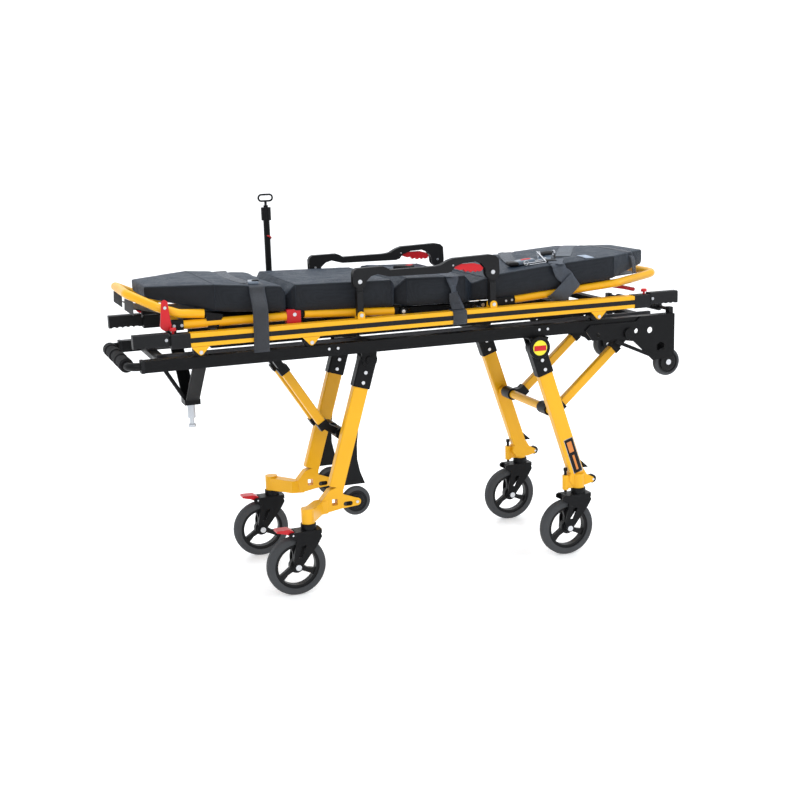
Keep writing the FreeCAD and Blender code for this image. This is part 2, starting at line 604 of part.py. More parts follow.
def head_leg_castings():
    """Cast foot of a head-end leg: caster boss, lock-pin lug and a small roller."""
    y0, y1 = HEAD_LEG_Y - LEG_D / 2, HEAD_LEG_Y + LEG_D / 2
    end = head_point(HEAD_TUBE_END)
    body = plate_y([(end[0] - 28, end[1] - 8), (end[0] + 25, end[1] + 9), (600, 285),
                    (ROLLER_X, ROLLER_Z + 8),
                    (ROLLER_X, ROLLER_Z - 8), (596, 246), (548, 246), (532, 268)], y0, y1)
    lug_x = HEAD_SWIVEL_X - LOCK_PIN_REACH
    lug = rod_z(lug_x, HEAD_SWIVEL_Y, 11, 236, 288)
    web = box(lug_x, HEAD_SWIVEL_X, HEAD_SWIVEL_Y - 8, HEAD_SWIVEL_Y + 8, 240, 284)
    solid = fuse(body, boss(HEAD_SWIVEL_X, HEAD_SWIVEL_Y), web, lug)
    seat = bar_y(head_point(HEAD_TUBE_END - 60), head_point(HEAD_TUBE_END), LEG_W, y0 - 12, y1 + 12)
    solid = solid.cut(seat)
    notch = box(ROLLER_X - 18, ROLLER_X + 20, HEAD_LEG_Y - 9, HEAD_LEG_Y + 9, 230, 300)
    solid = solid.cut(notch).cut(rod_y(ROLLER_X, ROLLER_Z, 4, y0 - 1, y1 + 1))
    solid = solid.cut(rod_z(HEAD_SWIVEL_X, HEAD_SWIVEL_Y, STEM_R + RUNNING, 230, 280))
    solid = solid.cut(rod_z(lug_x, HEAD_SWIVEL_Y, 5 + RUNNING, 230, 300))
    roller = rod_y(ROLLER_X, ROLLER_Z, 15, HEAD_LEG_Y - 8, HEAD_LEG_Y + 8)
    roller = roller.cut(rod_y(ROLLER_X, ROLLER_Z, 4, y0, y1))
    return pair(solid, roller, rod_y(ROLLER_X, ROLLER_Z, 4, y0, y1))


def direction_lock_pins():
    """Spring pins that drop into the fork crown and hold the caster straight."""
    x = HEAD_SWIVEL_X - LOCK_PIN_REACH
    return pair(fuse(rod_z(x, HEAD_SWIVEL_Y, 5, 225, 310), rod_z(x, HEAD_SWIVEL_Y, 7, 304, 314)))


# ---------------------------------------------------------------- braces
BRACE_GRIP, BRACE_SLEEVE = 12.0, 18.0


def brace(pivot, bar_r, tube_start, tube_end, shaft, middle_y, half_shaft):
    """Pair of brace tubes, from sleeves on the leg crossbar to a roller shaft at the guides."""
    y0, y1 = middle_y - BRACE_D / 2, middle_y + BRACE_D / 2
    direction = (V(tube_end[0], 0, tube_end[1]) - V(tube_start[0], 0, tube_start[1])).normalize()
    tube = round_long_edges(bar_y(tube_start, tube_end, BRACE_W, y0, y1), 4, direction)
    tube = tube.cut(bar_y(tube_start, tube_end, BRACE_W - 5, y0 + 2.5, y1 - 2.5))
    grip = along(tube_start, tube_end, BRACE_GRIP)
    lower = fuse(rod_y(pivot[0], pivot[1], bar_r + 7, y0 - BRACE_SLEEVE, y1 + BRACE_SLEEVE),
                 bar_y(pivot, tube_start, 24, y0 - 3, y1 + 3),
                 bar_y(along(tube_start, tube_end, -14), grip, BRACE_W + 6, y0 - 3, y1 + 3))
    lower = lower.cut(rod_y(pivot[0], pivot[1], bar_r + RUNNING, y0 - 30, y1 + 30))
    hold = along(tube_end, tube_start, BRACE_GRIP)
    upper = fuse(bar_y(hold, along(tube_end, tube_start, -12), BRACE_W + 6, y0 - 3, y1 + 3),
                 bar_y(tube_end, shaft, 24, y0 - 3, y1 + 3),
                 rod_y(shaft[0], shaft[1], 12, y0 - 3, y1 + 3))
    upper = upper.cut(rod_y(shaft[0], shaft[1], SHAFT_R, y0 - 4, y1 + 4))
    solid_tube = round_long_edges(bar_y(tube_start, tube_end, BRACE_W, y0, y1), 4, direction)
    lower, upper = lower.cut(solid_tube), upper.cut(solid_tube)
    axle = rod_y(shaft[0], shaft[1], SHAFT_R, -half_shaft, half_shaft)
    roller = rod_y(shaft[0], shaft[1], ROLLER_R, GUIDE_Y0, GUIDE_Y1)
    roller = roller.cut(rod_y(shaft[0], shaft[1], SHAFT_R, GUIDE_Y0, GUIDE_Y1))
    return pair(tube, lower, upper, roller) + [axle]


def foot_brace():
    return brace(foot_point(FOOT_BAR_T), FOOT_BAR_R, (-304, 522), (-433, 724),
                 (FOOT_SHAFT_X, SHAFT_Z), 48, 106)


def head_brace():
    return brace(head_point(HEAD_BAR_T), HEAD_BAR_R, (545, 522), (762, 711),
                 (HEAD_SHAFT_X, SHAFT_Z), 150, 168)


# ---------------------------------------------------------------- casters
def caster_fork(x, y, lock_hole):
    """Fork with stem, bearing ring, two arms and the axle bolt."""
    axle_x = x - CASTER_TRAIL
    crown = box(x - (62 if lock_hole else 50), x + 40, y - 28, y + 28, 206, FORK_TOP)
    crown = round_long_edges(crown, 8, ALONG_Z)
    cheeks = []
    for y0 in (y - 28, y + 22):
        cheek = plate_y([(x - 74, 214), (x - 66, 219), (x + 30, 219), (x + 38, 196), (x + 24, 172),
                         (axle_x + 14, 100),
                         (axle_x - 14, 100), (axle_x - 14, 128), (x - 50, 190), (x - 74, 203)], y0, y0 + 6)
        slot = plate_y([(axle_x + 2, 132), (axle_x + 14, 132), (axle_x + 32, 172), (axle_x + 16, 172)],
                       y0 - 1, y0 + 7)
        cheek = fuse(cheek, rod_y(axle_x, WHEEL_R, 15, y0, y0 + 6))
        cheeks.append(cheek.cut(slot))
    fork = fuse(crown, *cheeks)
    fork = fuse(fork, rod_z(x, y, 26, FORK_TOP - 1, RING_TOP), rod_z(x, y, STEM_R, RING_TOP - 1, 278))
    fork = fork.cut(rod_y(axle_x, WHEEL_R, 6, y - 30, y + 30))
    if lock_hole:
        fork = fork.cut(rod_z(x - LOCK_PIN_REACH, y, 5.6, 200, 230))
    axle = rod_y(axle_x, WHEEL_R, 6, y - 34, y + 34)
    nuts = [rod_y(axle_x, WHEEL_R, 10, y - 34, y - 28), rod_y(axle_x, WHEEL_R, 10, y + 28, y + 34)]
    parts = [fork, fuse(axle, *nuts)]
    if not lock_hole:
        parts[0] = parts[0].cut(rod_y(x - 60, 210, 3, y - 30, y + 30))
        parts.append(rod_y(x - 60, 210, 3, y - 29, y + 29))
    return parts


RIM_R, SPOKE_ANGLE = 76.0, 92.0


def caster_wheel(x, y):
    """Tyre on a rim with three slim spokes."""
    axle_x = x - CASTER_TRAIL
    tyre = rod_y(axle_x, WHEEL_R, WHEEL_R, y - TYRE_W / 2, y + TYRE_W / 2)
    tyre = tyre.makeFillet(12, [e for e in tyre.Edges if e.BoundBox.YLength < 0.1])
    tyre = tyre.cut(rod_y(axle_x, WHEEL_R, RIM_R, y - 30, y + 30))
    rim = rod_y(axle_x, WHEEL_R, RIM_R, y - 13, y + 13)
    rim = rim.cut(rod_y(axle_x, WHEEL_R, RIM_R - 11, y - 14, y + 14))
    rim = fuse(rim, rod_y(axle_x, WHEEL_R, 24, y - 11, y + 11))
    for step in range(3):
        turn = 120 * step + SPOKE_ANGLE
        spoke = plate_y([(axle_x, WHEEL_R + 11), (axle_x + 40, WHEEL_R + 8), (axle_x + 70, WHEEL_R + 16),
                         (axle_x + 70, WHEEL_R - 6), (axle_x + 40, WHEEL_R - 7), (axle_x, WHEEL_R - 11)],
                        y - 8, y + 8)
        spoke.rotate(V(axle_x, 0, WHEEL_R), ALONG_Y, -turn)
        rim = fuse(rim, spoke)
    hub = rod_y(axle_x, WHEEL_R, 18, y - 21, y + 21)
    rim = fuse(rim, hub).cut(rod_y(axle_x, WHEEL_R, 6 + RUNNING, y - 22, y + 22))
    return [tyre, rim]


def brake_pedal(x, y):
    """Foot pedal that tips on a pin between the fork arms."""
    outline = [(x - 114, 223), (x - 112, 230), (x - 70, 229), (x - 56, 222), (x - 53, 208),
               (x - 60, 204.5), (x - 68, 206), (x - 78, 214)]
    pedal = plate_y(outline, y - 20, y + 20)
    trim = box(x - 52, x, y - 30, y + 30, 200, 240)
    pedal = pedal.cut(trim).cut(rod_y(x - 60, 210, 3 + RUNNING, y - 30, y + 30))
    return [round_long_edges(pedal, 1.2, ALONG_Y)]


# ---------------------------------------------------------------- armrests
def armrest_link(x):
    lower = fuse(box(x - 10, x + 10, ARM_Y - 11, ARM_Y + 11, ARM_LOW_Z, 992),
                 rod_y(x, ARM_LOW_Z, 10, ARM_Y - 11, ARM_Y + 11))
    upper = fuse(box(x - 10, x + 10, ARM_Y - 6, ARM_Y + 6, 990, ARM_TOP_Z),
                 rod_y(x, ARM_TOP_Z, 10, ARM_Y - 6, ARM_Y + 6))
    link = fuse(lower, upper)
    link = link.cut(rod_y(x, ARM_LOW_Z, 4 + RUNNING, 200, 300))
    return [link.cut(rod_y(x, ARM_TOP_Z, 4 + RUNNING, 200, 300))]


def armrest_handle():
    """Moulded handrail with a raised grip at its head end."""
    y0, y1 = ARM_Y - 12, ARM_Y + 12
    outline = [(-243, 1025), (-243, 1052), (-238, 1062), (-228, 1068), (-140, 1069), (-128, 1064),
               (-116, 1056), (40, 1057), (62, 1060), (88, 1073), (108, 1079), (240, 1083), (258, 1079),
               (269, 1068), (271, 1025), (222, 1025), (219, 1040), (208, 1054), (188, 1063),
               (140, 1061), (112, 1052), (98, 1036), (84, 1032), (-120, 1035), (-160, 1046),
               (-182, 1040), (-199, 1025)]
    body = fuse(plate_y(outline, y0, y1), rod_y(ARM_FRONT_X, ARM_TOP_Z, 22, y0, y1),
                rod_y(ARM_REAR_X, ARM_TOP_Z, 24.9, y0, y1))
    slots = [rod_y(x, ARM_TOP_Z, 27, ARM_Y - 6.5, ARM_Y + 6.5) for x in (ARM_FRONT_X, ARM_REAR_X)]
    recess = plate_y([(96, 1030), (100, 1066), (214, 1077), (216, 1030)], ARM_Y - 8, ARM_Y + 8)
    body = body.cut(Part.makeCompound(slots)).cut(recess)
    bolts = []
    for x in (ARM_FRONT_X, ARM_REAR_X):
        body = body.cut(rod_y(x, ARM_TOP_Z, 4, y0 - 1, y1 + 1))
        bolts.append(fuse(rod_y(x, ARM_TOP_Z, 4, y0 - 2, y1), rod_y(x, ARM_TOP_Z, 7, y1, y1 + 3)))
    body = body.cut(rod_y(104, 1056, 3, y0 - 1, y1 + 1))
    return [body, rod_y(104, 1056, 3, y0 - 1, y1 + 1)] + bolts


def armrest_trigger():
    """Wavy squeeze trigger under the raised grip."""
    outline = [(99, 1053), (104, 1060), (130, 1058), (180, 1058), (204, 1051), (214, 1040), (208, 1031),
               (198, 1029), (194, 1034), (186, 1028), (178, 1034), (168, 1028), (160, 1035), (150, 1031),
               (142, 1040), (130, 1038), (112, 1045), (102, 1049)]
    body = plate_y(outline, ARM_Y - 7, ARM_Y + 7)
    return [body.cut(rod_y(104, 1056, 3 + RUNNING, 200, 300))]


# ---------------------------------------------------------------- carry handles
def carry_handle(direction):
    """Telescopic handle: moulded grip with finger waves, on a bar inside the rail."""
    x0, x1 = sorted((direction * HANDLE_X0, direction * HANDLE_TIP))
    grip = round_long_edges(box(x0, x1, SIDE_MID_Y - 17, SIDE_MID_Y + 17, 868, 911), 6, ALONG_X)
    for step in range(5):
        x = direction * (HANDLE_TIP - 16 - 19 * step)
        grip = grip.cut(rod_y(x, 862, 10, 210, 280))
    bx0, bx1 = sorted((direction * 640, direction * (HANDLE_X0 + 30)))
    bar = box(bx0, bx1, SIDE_MID_Y - 13.5, SIDE_MID_Y + 13.5, 870.5, 896.5)
    grip = grip.cut(bar)
    x = direction * (HANDLE_X0 + 8)
    screw = rod_y(x, 890, 5, SIDE_MID_Y + 17, SIDE_MID_Y + 19.5)
    return [grip, bar, screw]


def handle_buttons(direction):
    x = direction * BUTTON_X
    knob = rod_z(x, SIDE_MID_Y, 10, 915, 925)
    knob = knob.makeFillet(3, [e for e in knob.Edges if e.BoundBox.ZMin > 924])
    return pair(fuse(rod_z(x, SIDE_MID_Y, 4, 902.5, 916), knob))


# ---------------------------------------------------------------- moving sections
def tongue(pivot, reach, direction):
    """Flat hinge arm on a section's side tube."""
    x, z = pivot
    x0, x1 = sorted((x, x + direction * reach))
    arm = fuse(box(x0, x1, DECK_TUBE_Y - 4, DECK_TUBE_Y + 4, z - 10, z + 10),
               rod_y(x, z, 10, DECK_TUBE_Y - 4, DECK_TUBE_Y + 4))
    return arm.cut(rod_y(x, z, HINGE_R + RUNNING, DECK_TUBE_Y - 5, DECK_TUBE_Y + 5))


def tube_x(x0, x1, y, z):
    outer = Part.makeCylinder(TUBE_R, x1 - x0, V(x0, y, z), ALONG_X)
    return outer.cut(Part.makeCylinder(TUBE_R - TUBE_WALL, x1 - x0, V(x0, y, z), ALONG_X))


def panel(x0, x1, half_y, z0, cross_x):
    """Sheet panel on crossbars between the section's side tubes."""
    inner = DECK_TUBE_Y - TUBE_R
    bars = [box(x - 10, x + 10, -inner, inner, z0 - 10, z0) for x in cross_x]
    return [box(x0, x1, -half_y, half_y, z0, z0 + 2.5)] + bars


KNEE = (THIGH_PIVOT[0] - KNEE_REACH * math.cos(math.radians(THIGH_TILT)),
        THIGH_PIVOT[1] + KNEE_REACH * math.sin(math.radians(THIGH_TILT)))


def thigh_frame():
    x, z = THIGH_PIVOT
    knee_x = x - KNEE_REACH
    tube = tube_x(knee_x + 34, x - 32, DECK_TUBE_Y, z)
    hip = tongue(THIGH_PIVOT, 60, -1).cut(Part.makeCylinder(TUBE_R, 300, V(x - 332, DECK_TUBE_Y, z), ALONG_X))
    room = Part.makeCylinder(TUBE_R, 300, V(knee_x + 34, DECK_TUBE_Y, z), ALONG_X)
    knee = tongue((knee_x, z), 60, 1).cut(room)
    parts = pair(tube, hip, knee) + panel(knee_x + 40, x - 50, 188, z + 6, (knee_x + 70, x - 80))
    return tilted(parts, THIGH_PIVOT, THIGH_TILT)


def thigh_cushion():
    x, z = THIGH_PIVOT
    outline = [(x - 18, z + 15), (x - 338, z + 15), (x - 352, z + 26), (x - 374, z + 42), (x - 374, z + 96),
               (x - 63, z + 106)]
    return tilted([plate_y(outline, -PAD_HALF_W, PAD_HALF_W)], THIGH_PIVOT, THIGH_TILT)


CALF_TUBE_Z = 926.0
FOOT_SCREW = (-847.0, 986.0)


def calf_frame():
    """Lower-leg section: side tubes, knee blocks, raised foot hoop and foot sheet."""
    x, z = KNEE
    block = box(x - 26, x + 20, DECK_TUBE_Y - 14, DECK_TUBE_Y + 14, z - 28, z + 17)
    block = block.cut(box(x - 13, x + 21, DECK_TUBE_Y - 4.5, DECK_TUBE_Y + 4.5, z - 30, z + 20))
    block = block.cut(rod_y(x, z, HINGE_R, 180, 230))
    pin = rod_y(x, z, HINGE_R, DECK_TUBE_Y - 14, DECK_TUBE_Y + 14)
    tube = tube_x(-790, x - 26, DECK_TUBE_Y, CALF_TUBE_Z)
    hanger = plate_y([(-720, 962), (-662, 950), (-680, 911), (-712, 911)], DECK_TUBE_Y - 12, DECK_TUBE_Y + 12)
    sleeve = box(-848, -790, DECK_TUBE_Y - 14, DECK_TUBE_Y + 14, CALF_TUBE_Z - 15, CALF_TUBE_Z + 17)
    sleeve = round_long_edges(sleeve, 4, ALONG_X)
    studs = [rod_y(sx, CALF_TUBE_Z, 5, DECK_TUBE_Y + 14, DECK_TUBE_Y + 15.5) for sx in (-820, -796)]
    side = [(-722, 956), (-800, 962), (-858, 982)]
    points = [(px, DECK_TUBE_Y - (0 if px > -830 else 14), pz) for px, pz in side]
    points.append((-944, 118, 1024))
    points = points + [(px, -py, pz) for px, py, pz in reversed(points)]
    hoop = swept_tube(points, 34, TUBE_R, TUBE_WALL)
    envelope = Part.makeCylinder(TUBE_R, 200, V(-800, DECK_TUBE_Y, CALF_TUBE_Z), ALONG_X)
    hanger = hanger.cut(envelope)
    sheet = plate_y([(-925, 975), (-790, 940), (-790, 937), (-925, 972)], -108, 108)
    sheet_hangers = pair(plate_y([(-950, 1010), (-924, 997), (-925, 952), (-952, 974)], 108, 112))
    screw = rod_y(FOOT_SCREW[0], FOOT_SCREW[1], 5, 196, 230)
    hoop = hoop.cut(rod_y(FOOT_SCREW[0], FOOT_SCREW[1], 5, 150, 260))
    hoop = hoop.cut(rod_y(FOOT_SCREW[0], FOOT_SCREW[1], 5, -260, -150))
    parts = pair(block, pin, tube, hanger, sleeve, screw, *studs) + [hoop, sheet] + sheet_hangers
    return parts + panel(-785, x - 40, 188, 938, (-770, -500))


def calf_cushion():
    plan = [(-462, PAD_HALF_W), (-690, PAD_HALF_W), (-886, 120), (-886, -120), (-690, -PAD_HALF_W),
            (-462, -PAD_HALF_W)]
    block = plate_z(plan, 930, 1060)
    side = plate_y([(-462, 944), (-462, 1028), (-690, 1048), (-890, 1044), (-890, 986), (-712, 972),
                    (-700, 962)], -300, 300)
    return [block.common(side)]


def foot_levers():
    """Teardrop levers on the foot hoop."""
    x, z = FOOT_SCREW
    outline = [(x - 10, z + 14), (x + 10, z + 14), (x + 17, z - 56), (x - 17, z - 56)]
    lever = fuse(plate_y(outline, 221, 229), rod_y(x, z + 14, 10, 221, 229), rod_y(x, z - 54, 17.5, 221, 229))
    return pair(lever.cut(rod_y(x, z, 5 + RUNNING, 210, 240)))


BACK_END = 945.0


def backrest_frame():
    """Backrest: bent side tube with the head hoop, hinge arms and sheet panel."""
    x, z = BACK_PIVOT
    points = [(345, DECK_TUBE_Y, z), (745, DECK_TUBE_Y, z), (BACK_END, 118, z)]
    points = points + [(px, -py, pz) for px, py, pz in reversed(points)]
    hoop = swept_tube(points, 55, TUBE_R, TUBE_WALL)
    arm = tongue(BACK_PIVOT, 150, 1)
    wide = box(x + 32, 345, DECK_TUBE_Y - 9, DECK_TUBE_Y + 9, z - 13, z + 13)
    arm = fuse(arm, wide).cut(Part.makeCylinder(TUBE_R, 60, V(345, DECK_TUBE_Y, z), ALONG_X))
    screws = [rod_y(sx, z, 4, DECK_TUBE_Y + 9, DECK_TUBE_Y + 11) for sx in (312, 334)]
    lugs = box(752, 772, 74, 80, z - 32, z + 6)
    lugs = lugs.cut(rod_y(762, z - 24, 4, 70, 90))
    lever_pin = rod_y(762, z - 24, 4, 62, 80)
    parts = [hoop] + pair(arm, lugs, lever_pin, *screws)
    parts += panel(x + 40, 880, 110, z + 6, (400, 720)) + pair(box(x + 40, 740, 110, 188, z + 6, z + 8.5))
    return tilted(parts, BACK_PIVOT, -BACK_TILT)


def backrest_cushion():
    x, z = BACK_PIVOT
    plan = [(x + 5, PAD_HALF_W), (718, PAD_HALF_W), (890, 120), (890, -120), (718, -PAD_HALF_W),
            (x + 5, -PAD_HALF_W)]
    block = plate_z(plan, z + 18, z + 110)
    block = block.common(plate_y([(x, z), (x, z + 98), (718, z + 102), (900, z + 92), (900, z + 30),
                                  (880, z)],
                                 -300, 300))
    groove = plate_y([(x - 10, z), (x + 10, z + 14), (x + 90, z + 110), (x - 10, z + 110)], -300, 300)
    return tilted([block.cut(groove)], BACK_PIVOT, -BACK_TILT)


def backrest_lever():
    """Squeeze bar under the head end that releases the backrest."""
    z = BACK_PIVOT[1]
    arm = bar_y((762, z - 24), (884, z - 58), 10, 63, 71)
    arm = fuse(arm, rod_y(762, z - 24, 8, 63, 71)).cut(rod_y(762, z - 24, 4 + RUNNING, 60, 75))
    grip = rod_y(884, z - 58, 7, -71, 71)
    lever = fuse(grip, *pair(arm))
    return tilted([lever], BACK_PIVOT, -BACK_TILT)


# ---------------------------------------------------------------- write every node
os.makedirs("parts", exist_ok=True)

save("chassis_side_rails", chassis_side_rails())
save("chassis_cross_members", chassis_cross_members())
save("guide_rails", guide_rails())
save("push_handle", push_handle())
save("push_handle_grip", push_handle_grip())
save("leg_clevises", leg_clevises())
save("steel_bolts", steel_bolts())
save("floor_lock_bracket", floor_lock_bracket())
save("floor_lock_pin", floor_lock_pin())
save("loading_brackets", loading_brackets())
save("loading_wheels", loading_wheels())
save("stretcher_side_rails", stretcher_side_rails())
save("rail_fittings", rail_fittings())
save("rail_brackets", rail_brackets())
save("deck_frame", deck_frame())
save("seat_cushion", seat_cushion())
save("iv_pole_tube", iv_pole_tube())
save("iv_pole_rod", iv_pole_rod())
save("foot_leg_tubes", foot_leg_tubes())
save("foot_leg_fittings", foot_leg_fittings())
save("foot_leg_castings", foot_leg_castings())
save("aux_wheels", aux_wheels())
save("head_leg_tubes", head_leg_tubes())
save("head_leg_fittings", head_leg_fittings())
save("head_leg_castings", head_leg_castings())
save("direction_lock_pins", direction_lock_pins())
save("foot_brace", foot_brace())
save("head_brace", head_brace())

SWIVELS = (("foot", FOOT_SWIVEL_X, FOOT_SWIVEL_Y), ("head", HEAD_SWIVEL_X, HEAD_SWIVEL_Y))
for end, swivel_x, swivel_y in SWIVELS:
    for side, sign in (("near", -1), ("far", 1)):
        save("fork_%s_%s" % (end, side), caster_fork(swivel_x, sign * swivel_y, end == "head"))
        save("wheel_%s_%s" % (end, side), caster_wheel(swivel_x, sign * swivel_y))
        if end == "foot":
            save("brake_pedal_%s" % side, brake_pedal(swivel_x, sign * swivel_y))

for side, place in (("far", lambda shape: shape), ("near", mirrored)):
    save("armrest_front_link_%s" % side, [place(s) for s in armrest_link(ARM_FRONT_X)])
    save("armrest_rear_link_%s" % side, [place(s) for s in armrest_link(ARM_REAR_X)])
    save("armrest_handle_%s" % side, [place(s) for s in armrest_handle()])
    save("armrest_trigger_%s" % side, [place(s) for s in armrest_trigger()])
    save("carry_handle_foot_%s" % side, [place(s) for s in carry_handle(-1)])
    save("carry_handle_head_%s" % side, [place(s) for s in carry_handle(1)])

save("foot_handle_buttons", handle_buttons(-1))
save("head_handle_buttons", handle_buttons(1))
save("thigh_frame", thigh_frame())
save("thigh_cushion", thigh_cushion())
save("calf_frame", calf_frame())
save("calf_cushion", calf_cushion())
save("foot_levers", foot_levers())
save("backrest_frame", backrest_frame())
save("backrest_cushion", backrest_cushion())
save("backrest_lever", backrest_lever())
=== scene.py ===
import math

import bmesh
import bpy
from mathutils import Matrix, Vector, kdtree, noise
from mathutils.bvhtree import BVHTree


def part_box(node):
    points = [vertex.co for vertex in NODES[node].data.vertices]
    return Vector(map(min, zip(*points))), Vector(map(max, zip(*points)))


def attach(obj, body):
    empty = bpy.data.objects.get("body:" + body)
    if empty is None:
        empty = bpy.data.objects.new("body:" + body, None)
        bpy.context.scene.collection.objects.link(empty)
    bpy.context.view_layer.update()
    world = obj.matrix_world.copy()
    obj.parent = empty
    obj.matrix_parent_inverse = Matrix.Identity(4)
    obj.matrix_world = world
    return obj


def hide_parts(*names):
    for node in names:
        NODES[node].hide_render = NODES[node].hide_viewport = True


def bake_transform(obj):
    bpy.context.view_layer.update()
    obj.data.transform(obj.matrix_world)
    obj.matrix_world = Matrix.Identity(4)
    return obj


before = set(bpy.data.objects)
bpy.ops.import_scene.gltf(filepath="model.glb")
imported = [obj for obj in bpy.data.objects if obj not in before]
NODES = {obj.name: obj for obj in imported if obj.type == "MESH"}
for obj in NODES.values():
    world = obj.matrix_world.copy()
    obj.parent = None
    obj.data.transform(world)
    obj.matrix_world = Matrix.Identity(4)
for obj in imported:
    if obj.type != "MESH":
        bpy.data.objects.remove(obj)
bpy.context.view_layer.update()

MM = 0.001


def add_object(name, data):
    made = bpy.data.objects.new(name, data)
    bpy.context.scene.collection.objects.link(made)
    return made


# ------------------------------------------------------------------ materials
class Shader:
    """A Principled material with a few shorthand calls for wiring nodes."""

    def __init__(self, name):
        self.mat = bpy.data.materials.new(name)
        self.mat.use_nodes = True
        self.tree = self.mat.node_tree
        self.bsdf = self.tree.nodes["Principled BSDF"]

    def node(self, kind, settings=None, **inputs):
        made = self.tree.nodes.new(kind)
        for key, value in (settings or {}).items():
            setattr(made, key, value)
        for key, value in inputs.items():
            self.put(made, key.replace("_", " "), value)
        return made

    def put(self, node, socket, value):
        target = node.inputs[socket]
        if isinstance(value, bpy.types.NodeSocket):
            self.tree.links.new(value, target)
        else:
            target.default_value = value

    def math(self, operation, a, b=0.0, clamp=False):
        made = self.node("ShaderNodeMath", {"operation": operation, "use_clamp": clamp})
        self.put(made, 0, a)
        self.put(made, 1, b)
        return made.outputs[0]

    def ramp(self, fac, low, high, to_low=0.0, to_high=1.0):
        made = self.node("ShaderNodeMapRange", Value=fac, From_Min=low, From_Max=high,
                         To_Min=to_low, To_Max=to_high)
        return made.outputs[0]

    def mix(self, fac, a, b):
        """Blend two colours; sockets 6, 7 and output 2 are the colour ones of the Mix node."""
        made = self.node("ShaderNodeMix", {"data_type": "RGBA"})
        for index, value in ((0, fac), (6, a), (7, b)):
            self.put(made, index, value)
        return made.outputs[2]

    def coords(self, kind="Object"):
        return self.node("ShaderNodeTexCoord").outputs[kind]

    def noise(self, scale, detail=3.0, vector=None, rough=0.5):
        made = self.node("ShaderNodeTexNoise", Scale=scale, Detail=detail, Roughness=rough)
        self.put(made, "Vector", vector or self.coords())
        return made.outputs["Fac"]

    def bump(self, height, distance, normal=None, strength=1.0):
        made = self.node("ShaderNodeBump", Strength=strength, Distance=distance, Height=height)
        if normal is not None:
            self.put(made, "Normal", normal)
        return made.outputs["Normal"]

    def set(self, **inputs):
        for key, value in inputs.items():
            self.put(self.bsdf, key.replace("_", " "), value)
        return self


def rgba(colour):
    return (colour[0], colour[1], colour[2], 1.0)


def hard_surface(name, colour, rough, metal=0.0, coat=0.0, grain=900.0, depth=0.00003,
                 mottle=0.12, wear=0.25, round_edge=0.0008, worn=None, shine=0.5):
    """Painted, moulded or plated surface: grain, colour drift, soft edges and rubbed corners."""
    s = Shader(name)
    place = s.coords()
    soft = s.node("ShaderNodeBevel", {"samples": 4}, Radius=round_edge).outputs[0]
    flat = s.node("ShaderNodeNewGeometry").outputs["Normal"]
    agree = s.node("ShaderNodeVectorMath", {"operation": "DOT_PRODUCT"})
    s.put(agree, 0, soft)
    s.put(agree, 1, flat)
    edge = s.ramp(agree.outputs["Value"], 0.985, 0.80)
    patch = s.ramp(s.noise(38.0, 4.0, place), 0.42, 0.62)
    rub = s.math("MULTIPLY", s.math("MULTIPLY", edge, patch), wear, True)
    drift = s.ramp(s.noise(7.0, 5.0, place), 0.3, 0.7, 1.0 - mottle, 1.0 + mottle)
    tone = s.node("ShaderNodeHueSaturation", Value=drift, Color=rgba(colour)).outputs[0]
    bright = worn or tuple(min(1.0, c * 1.6 + 0.05) for c in colour)
    s.set(Base_Color=s.mix(rub, tone, rgba(bright)), Metallic=metal)
    smudge = s.ramp(s.noise(24.0, 4.0, place), 0.3, 0.75, rough - 0.05, rough + 0.09)
    s.set(Roughness=smudge, Coat_Weight=coat, Coat_Roughness=0.12)
    fine = s.noise(grain, 2.0, place)
    s.set(Normal=s.bump(fine, depth, soft), Specular_IOR_Level=shine)
    return s.mat


YELLOW_RGB = (0.80, 0.40, 0.006)
yellow = hard_surface("yellow_coat", YELLOW_RGB, 0.36, coat=0.12, grain=700.0, depth=0.00001,
                      mottle=0.03, wear=0.2, worn=(0.92, 0.60, 0.10), shine=0.3)
black_coat = hard_surface("black_coat", (0.0040, 0.0042, 0.0048), 0.40, coat=0.02, grain=1400.0,
                          depth=0.00001, wear=0.35, worn=(0.06, 0.06, 0.065), shine=0.14)
black_plastic = hard_surface("black_plastic", (0.0065, 0.0068, 0.0078), 0.5, grain=2200.0,
                             depth=0.00006, wear=0.35, worn=(0.06, 0.062, 0.066), round_edge=0.0015,
                             shine=0.22)
tyre_rubber = hard_surface("tyre_rubber", (0.052, 0.054, 0.057), 0.72, grain=1100.0, depth=0.00008,
                           wear=0.3, worn=(0.09, 0.09, 0.09), shine=0.22)
rim_plastic = hard_surface("rim_plastic", (0.0042, 0.0044, 0.0050), 0.42, grain=1800.0, depth=0.00004,
                           wear=0.3, round_edge=0.0015, shine=0.22)
red_plastic = hard_surface("red_plastic", (0.52, 0.008, 0.014), 0.36, coat=0.12, grain=600.0,
                           depth=0.00002, wear=0.2, worn=(0.66, 0.08, 0.09), round_edge=0.001, shine=0.3)
steel = hard_surface("plated_steel", (0.62, 0.63, 0.65), 0.27, metal=1.0, grain=1500.0, depth=0.00002,
                     wear=0.2, mottle=0.08)
zinc = hard_surface("zinc_pin", (0.5, 0.52, 0.55), 0.38, metal=1.0, grain=900.0, depth=0.00003, mottle=0.15)
chrome = hard_surface("chrome", (0.42, 0.43, 0.45), 0.18, metal=1.0, grain=500.0, depth=0.000008, wear=0.1)
foam = hard_surface("grip_foam", (0.007, 0.007, 0.008), 0.8, grain=1600.0, depth=0.00018, wear=0.2,
                    worn=(0.05, 0.05, 0.052), round_edge=0.002, shine=0.22)
screw_white = hard_surface("plated_screw", (0.42, 0.43, 0.45), 0.40, metal=0.8, grain=900.0, depth=0.00001)
grey_sheet = hard_surface("grey_sheet", (0.06, 0.062, 0.066), 0.5, grain=900.0, depth=0.00003)
